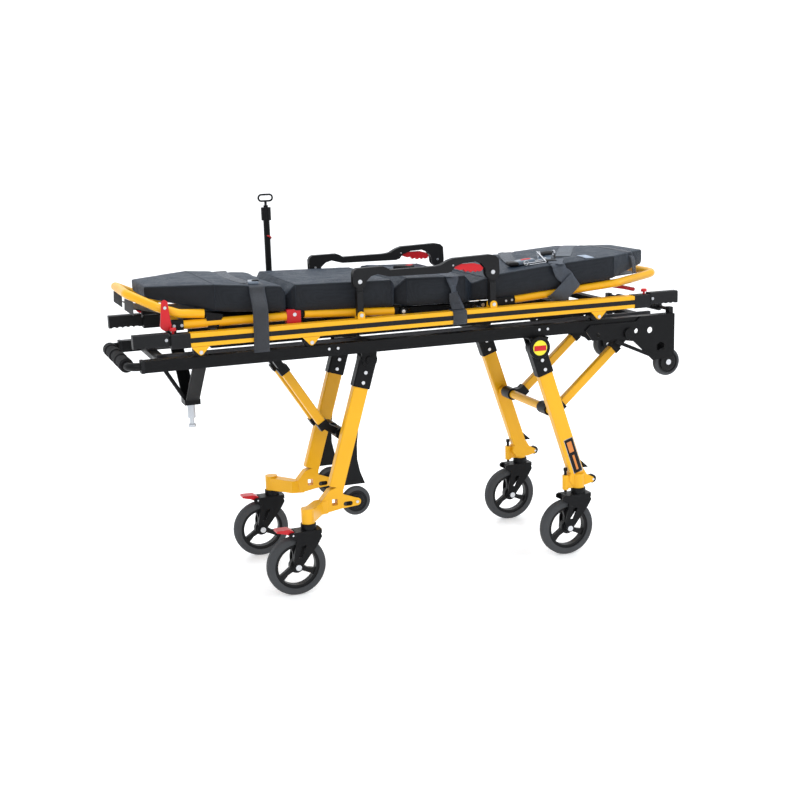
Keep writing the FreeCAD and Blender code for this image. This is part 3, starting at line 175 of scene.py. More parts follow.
dark_steel = hard_surface("dark_steel", (0.06, 0.06, 0.065), 0.5, metal=0.7, grain=600.0, depth=0.000005,
                          wear=0.15)


def closed_shells(mesh):
    """Runs of faces that close on themselves: each separate solid of the node."""
    keys = [tuple(round(c, 6) for c in v.co) for v in mesh.vertices]
    shells, run, loose = [], [], set()
    for poly in mesh.polygons:
        run.append(poly)
        corners = [keys[i] for i in poly.vertices]
        for a, b in zip(corners, corners[1:] + corners[:1]):
            loose ^= {frozenset((a, b))}
        if not loose:
            shells.append(run)
            run = []
    return shells + ([run] if run else [])


def within(lo, hi, low, high):
    """Whether the box lo..hi lies inside low..high, where None leaves a side open."""
    above = all(low[a] is None or lo[a] >= low[a] for a in range(3))
    return above and all(high[a] is None or hi[a] <= high[a] for a in range(3))


def paint(node, base, *rules):
    """Give a CAD node its materials. A rule is (material, low, high): a solid whose own box lies
    inside low..high (mm; None leaves a side open) takes that material, and a later rule wins."""
    mesh = NODES[node].data
    mesh.materials.clear()
    for material in [base] + [rule[0] for rule in rules]:
        mesh.materials.append(material)
    for shell in closed_shells(mesh):
        spots = [mesh.vertices[i].co / MM for poly in shell for i in poly.vertices]
        lo = [min(p[a] for p in spots) for a in range(3)]
        hi = [max(p[a] for p in spots) for a in range(3)]
        slot = 0
        for index, (_, low, high) in enumerate(rules, 1):
            if within(lo, hi, low, high):
                slot = index
        for poly in shell:
            poly.material_index = slot


def cross_pin(material, x, z, reach):
    """Rule for a bolt, pin or eye across the trolley, whose box stays within reach of (x, z)."""
    return material, (x - reach, None, z - reach), (x + reach, None, z + reach)


def mirrored(material, low, high):
    """The same rule for both sides of the trolley, given for the far side."""
    near_low = None if high[1] is None else -high[1]
    return (material, low, high), (material, (low[0], near_low, low[2]), (high[0], -low[1], high[2]))


def paint_wheel_pair(node, centre, radius):
    """Split a turned wheel into hub and tyre: faces beyond the radius (mm) are tyre."""
    mesh = NODES[node].data
    mesh.materials.clear()
    for material in (black_plastic, tyre_rubber):
        mesh.materials.append(material)
    for poly in mesh.polygons:
        place = poly.center / MM
        poly.material_index = int(math.hypot(place.x - centre[0], place.z - centre[1]) > radius)


def paint_frame():
    """Materials of the legs, braces, rails, castings and fittings."""
    for node in ("stretcher_side_rails", "rail_brackets", "foot_leg_tubes", "head_leg_tubes"):
        paint(node, yellow)
    for node in ("chassis_side_rails", "push_handle", "leg_clevises", "floor_lock_bracket",
                 "loading_brackets", "direction_lock_pins", "iv_pole_tube", "iv_pole_rod"):
        paint(node, black_coat)
    for node in ("foot_levers", "backrest_lever", "foot_handle_buttons", "head_handle_buttons"):
        paint(node, red_plastic)
    paint("guide_rails", dark_steel)
    paint("steel_bolts", steel, cross_pin(black_coat, -168, 752, 14))
    paint("floor_lock_pin", zinc)
    paint("push_handle_grip", foam)
    paint("rail_fittings", black_plastic)
    paint("chassis_cross_members", black_coat, cross_pin(steel, 948.5, 841, 7.5),
          (black_plastic, (930, None, 820), (965, None, 860)))
    paint("deck_frame", black_coat, cross_pin(steel, -60, 912, 10), cross_pin(steel, 225, 912, 10))
    paint("foot_leg_castings", yellow, cross_pin(steel, -226.5, 268, 8.5))
    paint("head_leg_castings", yellow, (black_plastic, (605, None, 240), (650, None, 280)),
          cross_pin(steel, 627, 262, 7))
    paint("foot_leg_fittings", black_coat, (steel, (-205, None, 660), (-170, None, 720)))
    paint("head_leg_fittings", black_coat, (steel, (415, None, 665), (455, None, 727)))
    paint("foot_brace", black_coat, (yellow, (-450, None, 505), (-285, None, 740)),
          cross_pin(steel, -477, 790, 10))
    paint("head_brace", black_coat, (yellow, (530, None, 505), (778, None, 730)),
          cross_pin(steel, 845, 790, 10))


def paint_sections():
    """Materials of the three lifting sections of the bed."""
    paint("thigh_frame", yellow, (black_coat, (-400, -190, 905), (-105, 190, 940)),
          (black_coat, (-395, -195, 905), (-100, 195, 936)), (black_coat, (-95, None, 900), (-48, None, 926)),
          (black_coat, (-443, None, 918), (-396, None, 942)))
    paint("calf_frame", black_coat, *mirrored(yellow, (-792, 190, 905), (-456, 220, 942)),
          (yellow, (-965, None, 941), (-718, None, 1042)), (black_coat, (-715, None, 905), (-660, None, 964)),
          (red_plastic, (-460, None, 900), (-408, None, 950)), cross_pin(steel, -431, 930.5, 8.5),
          *mirrored(screw_white, (-832, 218, 918), (-790, 223, 934)), cross_pin(steel, -847, 986, 7),
          (grey_sheet, (-955, None, 950), (-920, None, 1012)))
    paint("backrest_frame", black_coat, (yellow, (342, None, 904), (965, None, 980)),
          (black_coat, (380, -192, 915), (740, 192, 957)), (black_coat, (748, None, 915), (775, None, 958)),
          *mirrored(screw_white, (305, 213, 912), (340, None, 926)))


def paint_sides():
    """Materials of what stands on both sides: brakes, armrests, forks, wheels, carrying handles."""
    for side in ("near", "far"):
        paint("brake_pedal_" + side, red_plastic)
        paint("armrest_trigger_" + side, red_plastic)
        paint("armrest_front_link_" + side, black_plastic)
        paint("armrest_rear_link_" + side, black_plastic)
        paint("armrest_handle_" + side, black_plastic, cross_pin(screw_white, 104, 1056, 6),
              cross_pin(steel, -221, 1025, 9), cross_pin(steel, 246, 1025, 9))
        for end in ("foot", "head"):
            paint("fork_%s_%s" % (end, side), black_coat, (steel, (None, None, 86), (None, None, 114)),
                  (steel, (None, None, 205), (None, None, 215)))
            paint("wheel_%s_%s" % (end, side), tyre_rubber,
                  (rim_plastic, (None, None, 20), (None, None, 180)))
            paint("carry_handle_%s_%s" % (end, side), black_plastic, cross_pin(screw_white, -854, 890, 7),
                  cross_pin(screw_white, 854, 890, 7))


paint_frame()
paint_sections()
paint_sides()
paint_wheel_pair("aux_wheels", (-226, 268), 38)
paint_wheel_pair("loading_wheels", (934, 654), 40)


# ------------------------------------------------------------------ soft materials
def vinyl_cover():
    """Coated nylon cover: fine crossed weave under a soft sheen, faint creases, dusty patches."""
    s = Shader("vinyl_cover")
    place = s.coords()
    waves = [s.node("ShaderNodeTexWave", {"bands_direction": axis}, Scale=330.0, Distortion=0.8,
                    Vector=place).outputs["Fac"] for axis in "XYZ"]
    weave = s.math("ADD", s.math("ADD", waves[0], waves[1]), waves[2])
    crease = s.noise(26.0, 5.0, place, 0.6)
    dust = s.ramp(s.noise(5.0, 6.0, place, 0.65), 0.42, 0.72)
    tone = s.mix(s.ramp(weave, 0.6, 2.4), rgba((0.006, 0.007, 0.009)), rgba((0.011, 0.0125, 0.016)))
    s.set(Base_Color=s.mix(s.math("MULTIPLY", dust, 0.35), tone, rgba((0.020, 0.023, 0.028))))
    s.set(Roughness=s.ramp(crease, 0.3, 0.7, 0.42, 0.56), Specular_IOR_Level=0.16)
    s.set(Sheen_Weight=0.09, Sheen_Roughness=0.5, Sheen_Tint=rgba((0.35, 0.62, 1.0)))
    low = s.bump(crease, 0.0016)
    s.set(Normal=s.bump(weave, 0.00010, low))
    return s.mat


def webbing(name, dark, light, rough, rib=0.0016):
    """Woven belt: rows of slanted yarn crossing each other across the width."""
    s = Shader(name)
    uv = s.node("ShaderNodeSeparateXYZ", Vector=s.coords("UV"))
    across, along = uv.outputs["X"], uv.outputs["Y"]
    turn = 2 * math.pi / rib
    slant = s.math("SINE", s.math("MULTIPLY", s.math("ADD", across, along), turn))
    back = s.math("SINE", s.math("MULTIPLY", s.math("SUBTRACT", along, across), turn))
    yarn = s.math("MAXIMUM", slant, back)
    wave = s.ramp(yarn, -0.6, 1.0)
    drift = s.ramp(s.noise(60.0, 4.0), 0.35, 0.7)
    tone = s.mix(wave, rgba(dark), rgba(light))
    s.set(Base_Color=s.mix(s.math("MULTIPLY", drift, 0.4), tone, rgba(tuple(c * 1.8 for c in light))))
    s.set(Roughness=s.ramp(drift, 0.0, 1.0, rough, rough + 0.12), Specular_IOR_Level=0.5)
    s.set(Sheen_Weight=0.15, Sheen_Tint=rgba((0.6, 0.75, 1.0)))
    s.set(Normal=s.bump(yarn, 0.00022))
    return s.mat


vinyl = vinyl_cover()
belt_black = webbing("belt_webbing", (0.005, 0.0055, 0.007), (0.013, 0.0145, 0.019), 0.42)
belt_blue = webbing("belt_webbing_blue", (0.012, 0.015, 0.021), (0.030, 0.037, 0.050), 0.50)
belt_grey = webbing("belt_webbing_grey", (0.032, 0.036, 0.040), (0.075, 0.083, 0.092), 0.55)
piping = hard_surface("seam_piping", (0.010, 0.011, 0.013), 0.5, grain=1500.0, depth=0.00005, wear=0.1)


# ------------------------------------------------------------------ mattress
VOXEL = 5.0 * MM
CROWN = 6.0                    # most that the cover swells
CROWN_REACH = 70.0             # how far from a seam it swells fully
PINNED = 6.0                   # how near to a seam it is held
ROLL, TUCK = 3.0, 10.0         # rounding of the top and bottom long edges
CLOTH_FRAMES = 20
WELT_R, WELT_SIDES = 1.1, 6
PIPING_SLOT = 1


def pad_rings(stations):
    """Eight-point outline of the pad at each station (x, half width, top, bottom), in mm."""
    rings = []
    for x, half, top, low in stations:
        side = [(half - TUCK, low), (half - 2, low + TUCK), (half, top - ROLL), (half - ROLL, top)]
        rings.append([(x, y, z) for y, z in side] + [(x, -y, z) for y, z in reversed(side)])
    return rings


def seam_lines(rings, corners, folds):
    """Sewn edges: both long top edges, the end outlines, upright corners and cross folds."""
    lines = [[ring[k] for ring in rings] for k in (2, 5)]
    lines += [ring + ring[:1] for ring in (rings[0], rings[-1])]
    for k in corners:
        lines += [rings[k][0:3], rings[k][5:8]]
    lines += [[rings[k][3], rings[k][4]] for k in folds]
    return lines


def dense(line, step=4.0):
    """Points every few millimetres along a polyline."""
    found = []
    for a, b in zip(line, line[1:]):
        a, b = Vector(a), Vector(b)
        count = max(1, int((b - a).length / step))
        found += [a.lerp(b, i / count) for i in range(count)]
    return found + [Vector(line[-1])]


def mesh_object(name, verts, faces):
    mesh = bpy.data.meshes.new(name)
    mesh.from_pydata([Vector(v) * MM for v in verts], [], faces)
    mesh.update()
    return add_object(name, mesh)


def bake(obj):
    """Apply every modifier to the object's own mesh."""
    depsgraph = bpy.context.evaluated_depsgraph_get()
    depsgraph.update()
    mesh = bpy.data.meshes.new_from_object(obj.evaluated_get(depsgraph))
    obj.modifiers.clear()
    obj.data = mesh
    return mesh


def point_tree(points):
    """Search tree over points in mm."""
    tree = kdtree.KDTree(len(points))
    for i, p in enumerate(points):
        tree.insert(p, i)
    tree.balance()
    return tree


def shift(mesh, moves):
    """Move every vertex by its own step."""
    for v, move in zip(mesh.vertices, moves):
        v.co += move
    mesh.update()


def ahead_at(points, i):
    """Direction of a run at one of its points, from the point before to the one after."""
    return points[min(i + 1, len(points) - 1)] - points[max(i - 1, 0)]


def smooth(t):
    """Ease from 0 to 1."""
    t = min(1.0, max(0.0, t))
    return t * t * (3 - 2 * t)


def inflate(obj, reach, low_z):
    """Cloth pressure swells the cover between its sewn edges; each point moves at most CROWN."""
    mesh = obj.data
    group = obj.vertex_groups.new(name="sewn")
    pinned = [v.index for v in mesh.vertices if reach[v.index] < PINNED or v.co.z / MM < low_z[v.index]]
    group.add(pinned, 1.0, "REPLACE")
    rest = [v.co.copy() for v in mesh.vertices]
    cloth = obj.modifiers.new("swell", "CLOTH")
    settings = cloth.settings
    settings.quality = 4
    settings.mass = 0.4
    settings.use_pressure = True
    settings.uniform_pressure_force = 4.0
    settings.vertex_group_mass = group.name
    settings.effector_weights.gravity = 0.0
    cloth.point_cache.frame_start, cloth.point_cache.frame_end = 1, CLOTH_FRAMES
    for frame_number in range(1, CLOTH_FRAMES + 1):
        bpy.context.scene.frame_set(frame_number)
    depsgraph = bpy.context.evaluated_depsgraph_get()
    moved = [v.co.copy() for v in obj.evaluated_get(depsgraph).data.vertices]
    obj.modifiers.remove(cloth)
    bpy.context.scene.frame_set(1)
    for vertex, start, end in zip(mesh.vertices, rest, moved):
        i = vertex.index
        if start.z / MM < low_z[i]:
            continue
        limit = CROWN * MM * smooth(reach[i] / CROWN_REACH)
        step = end - start
        if step.length > limit:
            step = step.normalized() * limit
        vertex.co = start + step
    obj.vertex_groups.clear()
    mesh.update()

def crumple(mesh, notches, reach):
    """Shallow undulation all over, with short upright gathers beside each notch."""
    moves = []
    for v in mesh.vertices:
        p = v.co / MM
        soft = smooth(reach[v.index] / 30.0)
        swell = noise.noise(p * 0.011) * 1.3 + noise.noise(p * 0.028) * 0.7
        near = max([smooth(1 - abs(p.x - n) / 75.0) for n in notches] + [0.0])
        gather = noise.noise(Vector((p.x * 0.085, p.y * 0.02, p.z * 0.014))) * 2.4 * near
        gather += noise.noise(Vector((p.x * 0.03, p.y * 0.02, p.z * 0.09))) * 1.3 * near
        moves.append(v.normal * (swell * soft + gather * (0.35 + 0.65 * soft)) * MM)
    shift(mesh, moves)


def press(mesh, path, width, depth):
    """Dent the pad a little where a belt lies on it."""
    tree = point_tree(path)
    moves = []
    for v in mesh.vertices:
        away = tree.find(v.co / MM)[2]
        moves.append(v.normal * (-depth * MM * smooth(1 - (away - width / 2) / 16.0)))
    shift(mesh, moves)


def wall(bm, low, high):
    """Smooth faces joining two rings with the same number of points."""
    count = len(low)
    made = [bm.faces.new((low[k], low[(k + 1) % count], high[(k + 1) % count], high[k]))
            for k in range(count)]
    for face in made:
        face.smooth = True
    return made


def end_caps(bm, rings):
    return [bm.faces.new(list(reversed(rings[0]))), bm.faces.new(rings[-1])]


def add_seam(bm, line, tree):
    """A thin welt following a sewn edge, laid on the pad's own surface."""
    points = []
    for p in dense(line, 6.0):
        hit, normal = tree.find_nearest(p * MM)[:2]
        points.append(hit + normal * WELT_R * 0.35 * MM)
    rings = []
    for i, p in enumerate(points):
        ahead = ahead_at(points, i)
        across = ahead.orthogonal().normalized() if not rings else (
            last - ahead * last.dot(ahead) / max(ahead.length_squared, 1e-12)).normalized()
        last = across
        other = ahead.normalized().cross(across)
        turns = [2 * math.pi * k / WELT_SIDES for k in range(WELT_SIDES)]
        rings.append([bm.verts.new(p + (across * math.cos(a) + other * math.sin(a)) * WELT_R * MM)
                      for a in turns])
    made = [face for a, b in zip(rings, rings[1:]) for face in wall(bm, a, b)]
    for face in made + end_caps(bm, rings):
        face.material_index = PIPING_SLOT
        face.smooth = True


def bottom_limit(rings, x):
    """Height of the pad's underside at x, plus a little."""
    spots = [(ring[0][0], ring[0][2]) for ring in rings]
    for (xa, za), (xb, zb) in zip(spots, spots[1:]):
        if xa <= x <= xb:
            return za + (zb - za) * (x - xa) / (xb - xa) + 3
    return (spots[0][1] if x < spots[0][0] else spots[-1][1]) + 3


def make_pad(name, stations, corners, folds, notches, dents):
    """Cut, sew, fill and crease one length of mattress."""
    rings = pad_rings(stations)
    count = len(rings[0])
    verts = [p for ring in rings for p in ring]
    faces = [tuple(range(count))]
    for i in range(len(rings) - 1):
        for k in range(count):
            j = (k + 1) % count
            a, b = i * count, (i + 1) * count
            faces.append((a + j, a + k, b + k, b + j))
    faces.append(tuple(reversed(range(len(verts) - count, len(verts)))))
    pad = mesh_object(name, verts, faces)
    bm = bmesh.new()
    bm.from_mesh(pad.data)
    bmesh.ops.recalc_face_normals(bm, faces=bm.faces)
    bm.to_mesh(pad.data)
    bm.free()
    remesh = pad.modifiers.new("skin", "REMESH")
    remesh.mode = "VOXEL"
    remesh.voxel_size = VOXEL
    remesh.use_smooth_shade = True
    mesh = bake(pad)
    lines = seam_lines(rings, corners, folds)
    tree = point_tree([p for line in lines for p in dense(line)])
    reach = [tree.find(v.co / MM)[2] for v in mesh.vertices]
    low_z = [bottom_limit(rings, v.co.x / MM) for v in mesh.vertices]
    inflate(pad, reach, low_z)
    crumple(mesh, notches, reach)
    for path, width, depth in dents:
        press(mesh, path, width, depth)
    fine = pad.modifiers.new("fine", "SUBSURF")
    fine.levels = fine.render_levels = 1
    mesh = bake(pad)
    surface = BVHTree.FromObject(pad, bpy.context.evaluated_depsgraph_get())
    bm = bmesh.new()
    bm.from_mesh(mesh)
    for face in bm.faces:
        face.smooth = True
    for line in lines:
        add_seam(bm, line, surface)
    bm.to_mesh(mesh)
    bm.free()
    mesh.materials.clear()
    mesh.materials.append(vinyl)
    mesh.materials.append(piping)
    return pad, surface


def frame_box(node):
    low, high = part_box(node)
    return [c / MM for c in low], [c / MM for c in high]


calf_lo, calf_hi = frame_box("calf_cushion")
thigh_lo, thigh_hi = frame_box("thigh_cushion")
seat_lo, seat_hi = frame_box("seat_cushion")
back_lo, back_hi = frame_box("backrest_cushion")
HALF = calf_hi[1] + 1
END_HALF = 118

CALF = [(calf_lo[0] - 2, END_HALF, calf_hi[2] - 5, calf_lo[2] + 62),
        (calf_lo[0] + 198, HALF, calf_hi[2] - 1, calf_lo[2] + 18),
        (calf_hi[0] - 12, HALF, calf_hi[2] - 21, calf_lo[2] - 1),
        (calf_hi[0] + 2, HALF - 7, calf_hi[2] - 40, calf_lo[2] + 1)]
THIGH = [(thigh_lo[0] - 24, HALF - 28, thigh_hi[2] - 37, thigh_lo[2] + 14),
         (thigh_lo[0] + 3, HALF, thigh_hi[2] + 1, thigh_lo[2] + 13),
         (thigh_hi[0] - 26, HALF, thigh_hi[2] - 7, thigh_lo[2] + 4),
         (thigh_hi[0] - 15, HALF - 7, thigh_hi[2] - 24, thigh_lo[2] + 4)]
BACK = [(seat_lo[0] - 16, HALF - 28, seat_hi[2] - 35, seat_lo[2] + 12),
        (seat_lo[0] + 22, HALF, seat_hi[2] + 3, seat_lo[2] + 5),
        (seat_hi[0] - 52, HALF, seat_hi[2] - 4, seat_lo[2]),
        (seat_hi[0] - 17, HALF - 26, seat_hi[2] - 35, seat_lo[2] + 1),
        (back_lo[0], HALF, back_hi[2] - 48, back_lo[2] - 4),
        (back_lo[0] + 47, HALF, back_hi[2] - 38, back_lo[2] - 1),
        (back_lo[0] + 243, HALF, back_hi[2] - 20, back_lo[2] + 13),
        (back_lo[0] + 481, HALF, back_hi[2] - 5, back_lo[2] + 35),
        (back_hi[0] + 4, END_HALF, back_hi[2] - 3, back_lo[2] + 64)]

# Belt runs over the pads, as plan positions (x, y) in mm from the far edge to the near edge.
CALF_BELT = [(calf_lo[0] + 318, HALF), (calf_lo[0] + 296, 60), (calf_lo[0] + 290, -60),
             (calf_lo[0] + 302, -150), (calf_lo[0] + 330, -200), (calf_lo[0] + 334, -HALF)]
SEAT_BELT = [(seat_lo[0] + 40, HALF), (seat_lo[0] + 66, 110), (seat_lo[0] + 108, 30),
             (seat_lo[0] + 160, -120), (seat_lo[0] + 182, -HALF)]
CHEST_BELT = [(back_lo[0] + 276, HALF), (back_lo[0] + 222, 100), (back_lo[0] + 178, -40),
              (back_lo[0] + 150, -140)]
SHOULDER_BELT = [(back_lo[0] + 545, HALF - 16), (back_lo[0] + 455, 80), (back_lo[0] + 380, -50),
                 (back_lo[0] + 342, -112)]
SIDE_BELT = [(back_lo[0] + 300, -150), (back_lo[0] + 272, -196), (back_lo[0] + 262, -HALF)]
HEAD_BAND = [(back_lo[0] + 583, HALF - 60), (back_lo[0] + 576, 0), (back_lo[0] + 583, -HALF + 60)]


def on_pad(run, stations, step=8.0):
    """Lay a plan run on the pad's cut height, for denting."""
    line = dense([Vector((x, y, 0)) for x, y in run], step)
    for p in line:
        for a, b in zip(stations, stations[1:]):
            if a[0] <= p.x <= b[0]:
                p.z = a[2] + (b[2] - a[2]) * (p.x - a[0]) / (b[0] - a[0])
    return line


calf_pad, calf_skin = make_pad("calf_pad", CALF, (1,), (1,), [CALF[-1][0]],
                               [(on_pad(CALF_BELT, CALF), 46, 2.5)])
thigh_pad = make_pad("thigh_pad", THIGH, (1, 2), (1, 2), [THIGH[0][0], THIGH[-1][0]], [])[0]
back_pad, back_skin = make_pad("seat_and_back_pad", BACK, (1, 2, 4, 7), (1, 2, 3, 4, 5),
                               [BACK[0][0], BACK[3][0]],
                               [(on_pad(run, BACK), width, 2.2) for run, width in
                                ((SEAT_BELT, 46), (CHEST_BELT, 50), (SHOULDER_BELT, 50), (SIDE_BELT, 50),
                                 (HEAD_BAND, 24))])


# ------------------------------------------------------------------ belts and buckles
BELT_PROFILE = [(-0.5, 0.0), (-0.47, 0.5), (-0.25, 0.62), (0.25, 0.62), (0.47, 0.5), (0.5, 0.0),
                (0.47, -0.5), (0.0, -0.5), (-0.47, -0.5)]
WEAVE_WIDTH = 50.0 * MM
ABOVE = 1300.0                 # a height clear of the pads, to look down from
STITCH = ((-1.4, -0.4, 0), (1.4, -0.4, 0), (1.4, 0.4, 0), (-1.4, 0.4, 0), (0, 0, 0.5))
STITCH_ROW, STITCH_LIFT = 21, 2.9


def keep_piece(name, bm, material, body, place=None):
    """Make a finished bmesh a named piece that rides on a body."""
    mesh = bpy.data.meshes.new(name)
    bm.to_mesh(mesh)
    bm.free()
    if place is not None:
        mesh.transform(place)
    mesh.materials.append(material)
    made = add_object(name, mesh)
    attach(made, body)


def side_name(side):
    return "near" if side < 0 else "far"


def ribbon(name, points, across, width, thick, material, body):
    """A flat belt along dense points (mm). across gives the width direction at each point, and
    width is one value or one for each point."""
    bm = bmesh.new()
    uv = bm.loops.layers.uv.new("weave")
    rings, lengths, run = [], [], 0.0
    for i, p in enumerate(points):
        ahead = ahead_at(points, i).normalized()
        wide = across[i] - ahead * across[i].dot(ahead)
        wide.normalize()
        up = wide.cross(ahead)
        run += (p - points[i - 1]).length if i else 0.0
        lengths.append(run)
        breadth = width[i] if isinstance(width, list) else width
        rings.append([bm.verts.new((p + wide * a * breadth + up * b * thick) * MM) for a, b in BELT_PROFILE])
    for i in range(len(rings) - 1):
        for k, face in enumerate(wall(bm, rings[i], rings[i + 1])):
            j = (k + 1) % len(BELT_PROFILE)
            for loop, (a, b) in zip(face.loops, ((k, i), (j, i), (j, i + 1), (k, i + 1))):
                loop[uv].uv = (BELT_PROFILE[a][0] * WEAVE_WIDTH, lengths[b] * MM)
    end_caps(bm, rings)
    bmesh.ops.recalc_face_normals(bm, faces=bm.faces)
    keep_piece(name, bm, material, body)


def curve_through(points, step=5.0):
    """Smooth Catmull-Rom run through control points, sampled every few millimetres."""
    pts = [Vector(p) for p in points]
    pts = [pts[0] * 2 - pts[1]] + pts + [pts[-1] * 2 - pts[-2]]
    found = []
    for a, b, c, d in zip(pts, pts[1:], pts[2:], pts[3:]):
        count = max(1, int((c - b).length / step))
        for i in range(count):
            t = i / count
            found.append(0.5 * ((2 * b) + (c - a) * t + (2 * a - 5 * b + 4 * c - d) * t * t
                                + (3 * b - a - 3 * c + d) * t * t * t))
    return found + [pts[-2]]


def drop_on(skin, x, y, lift):
    """Point a little above the pad's finished top at (x, y), or None beside the pad."""
    hit = skin.ray_cast(Vector((x, y, ABOVE)) * MM, Vector((0, 0, -1)))[0]
    return None if hit is None else hit / MM + Vector((0, 0, lift))


def lie_on(skin, run, lift=1.2, inset=6.0):
    """Plan run laid on the pad's finished top surface."""
    found = []
    for p in curve_through([(x, y, 0) for x, y in run], 6.0):
        spot = drop_on(skin, p.x, max(-HALF + inset, min(HALF - inset, p.y)), lift)
        if spot is not None:
            found.append(spot)
    return found


def spread(path, value):
    return [Vector(value)] * len(path)


def level_across(path):
    """Width direction of a belt lying flat: level and square to its run."""
    found = []
    for i in range(len(path)):
        ahead = ahead_at(path, i)
        found.append(Vector((ahead.y, -ahead.x, 0)).normalized())
    return found


def turned(start, end, count):
    """Width directions turning evenly from start to end."""
    start, end = Vector(start), Vector(end)
    return [start.lerp(end, smooth(i / max(1, count - 1))).normalized() for i in range(count)]


side_rail_lo, side_rail_hi = frame_box("stretcher_side_rails")
RAIL_OUT = side_rail_hi[1] + 3
RAIL_LOW, RAIL_TOP = side_rail_lo[2] - 2, side_rail_hi[2] + 2
RAIL_WRAP = 48                 # how far inward a belt loop reaches round the rail
HOOP_SLOPE = 0.073             # rise of the backrest's yellow tube along X


def side_run(stops, side):
    """Smooth run through stops given for the far side; side is -1 near, +1 far."""
    return curve_through([(x, side * y, z) for x, y, z in stops])


def calf_belts():
    """Leg belt: narrow webbing over the pad and a wide, padded, stitched end over each rail."""
    body = "calf_section"
    top = [p for p in lie_on(calf_skin, CALF_BELT) if -178 < p.y < HALF - 12]
    ribbon("calf_belt_webbing", top, level_across(top), 40, 1.8, belt_black, body)
    end_x = CALF_BELT[-1][0]
    near = lie_on(calf_skin, [(end_x - 4, -186), (end_x - 2, -HALF + 9)], 2.2)
    outer = RAIL_OUT + 3
    for side, (x, _, z), shift in ((-1, near[-1], -4), (1, top[0], 6)):
        fall = side_run([(x, HALF - 10, z), (x, HALF + 2, z - 5), (x + 0.2 * shift, HALF + 9, z - 22),
                         (x + 0.5 * shift, outer - 3, z - 70), (x + 0.7 * shift, outer, RAIL_TOP - 4),
                         (x + shift, outer, RAIL_LOW - 31)], side)
        if side < 0:
            fall = near[:-1] + fall
        ribbon("calf_belt_pad_" + side_name(side), fall, spread(fall, (side, 0, 0)), 50, 4.5, belt_black,
               body)
        stitch_rows("calf_belt_stitches_" + side_name(side), fall[8:-3], side, body)


def stitch_rows(name, path, side, body):
    """Two rows of small thread stitches along a belt's outer face."""
    bm = bmesh.new()
    wide = Vector((1, 0, 0))
    for row in (-STITCH_ROW, STITCH_ROW):
        for a, b in zip(path, path[1:]):
            ahead = (b - a).normalized()
            out = ahead.cross(wide)
            out = out * (1 if out.y * side > 0 or out.z > 0.7 else -1)
            mid = a.lerp(b, 0.5) + wide * row + out.normalized() * STITCH_LIFT
            corners = [bm.verts.new((mid + ahead * u + wide * w + out * h) * MM) for u, w, h in STITCH]
            bm.faces.new(corners[3::-1])
            for k in range(4):
                bm.faces.new((corners[k], corners[(k + 1) % 4], corners[4]))
    bmesh.ops.recalc_face_normals(bm, faces=bm.faces)
    keep_piece(name, bm, thread, body)


def rail_loops(x):
    """Hip belt's loops, wrapped round both yellow side rails."""
    for side in (-1, 1):
        y0, y1 = side * (RAIL_OUT - RAIL_WRAP), side * RAIL_OUT
        corners = [(x, y0, RAIL_TOP), (x, y1, RAIL_TOP), (x, y1, RAIL_LOW), (x, y0, RAIL_LOW)]
        path = []
        for a, b in zip(corners, corners[1:] + corners[:1]):
            path += [Vector(a).lerp(Vector(b), part) for part in (0.12, 0.5, 0.88)]
        path = curve_through(path + path[:1], 6.0)
        ribbon("seat_belt_loop_" + side_name(side), path, spread(path, (1, 0, 0)), 50, 2.0, belt_black,
               "chassis")


def seat_belts():
    """Hip belt: webbing over the seat, gathered on its way down to the rail loops, and a near tail."""
    body = "chassis"
    top = lie_on(back_skin, SEAT_BELT)
    ribbon("seat_belt_webbing", top, level_across(top), 44, 1.8, belt_blue, body)
    for side, (x, _, z), shift in ((-1, top[-1], 10), (1, top[0], -2)):
        fall = side_run([(x, HALF - 8, z), (x + 1, HALF + 3, z - 5), (x + 0.3 * shift, HALF + 5, z - 30),
                         (x + 0.8 * shift, HALF + 6, z - 72), (x + shift, HALF + 8, RAIL_TOP + 24),
                         (x + shift, RAIL_OUT - 12, RAIL_TOP + 3)], side)
        count = len(fall)
        away = [abs(i / count - 0.45) for i in range(count)]
        breadth = [44 - 13 * smooth(1 - part / 0.35) for part in away]
        lean = [Vector((side, 0.55 * side * smooth(1 - part / 0.4), 0)) for part in away]
        ribbon("seat_belt_fall_" + side_name(side), fall, lean, breadth, 2.0, belt_blue, body)
        if side < 0:
            tail = [p + Vector((-5, -3.5, 0)) for p in fall[count // 2:]]
            slant = [v.lerp(Vector((-1, 0, 0)), 0.2) for v in lean[count // 2:]]
            ribbon("seat_belt_tail", tail, slant, 40, 2.0, belt_black, body)
    rail_loops(top[-1].x + 10)


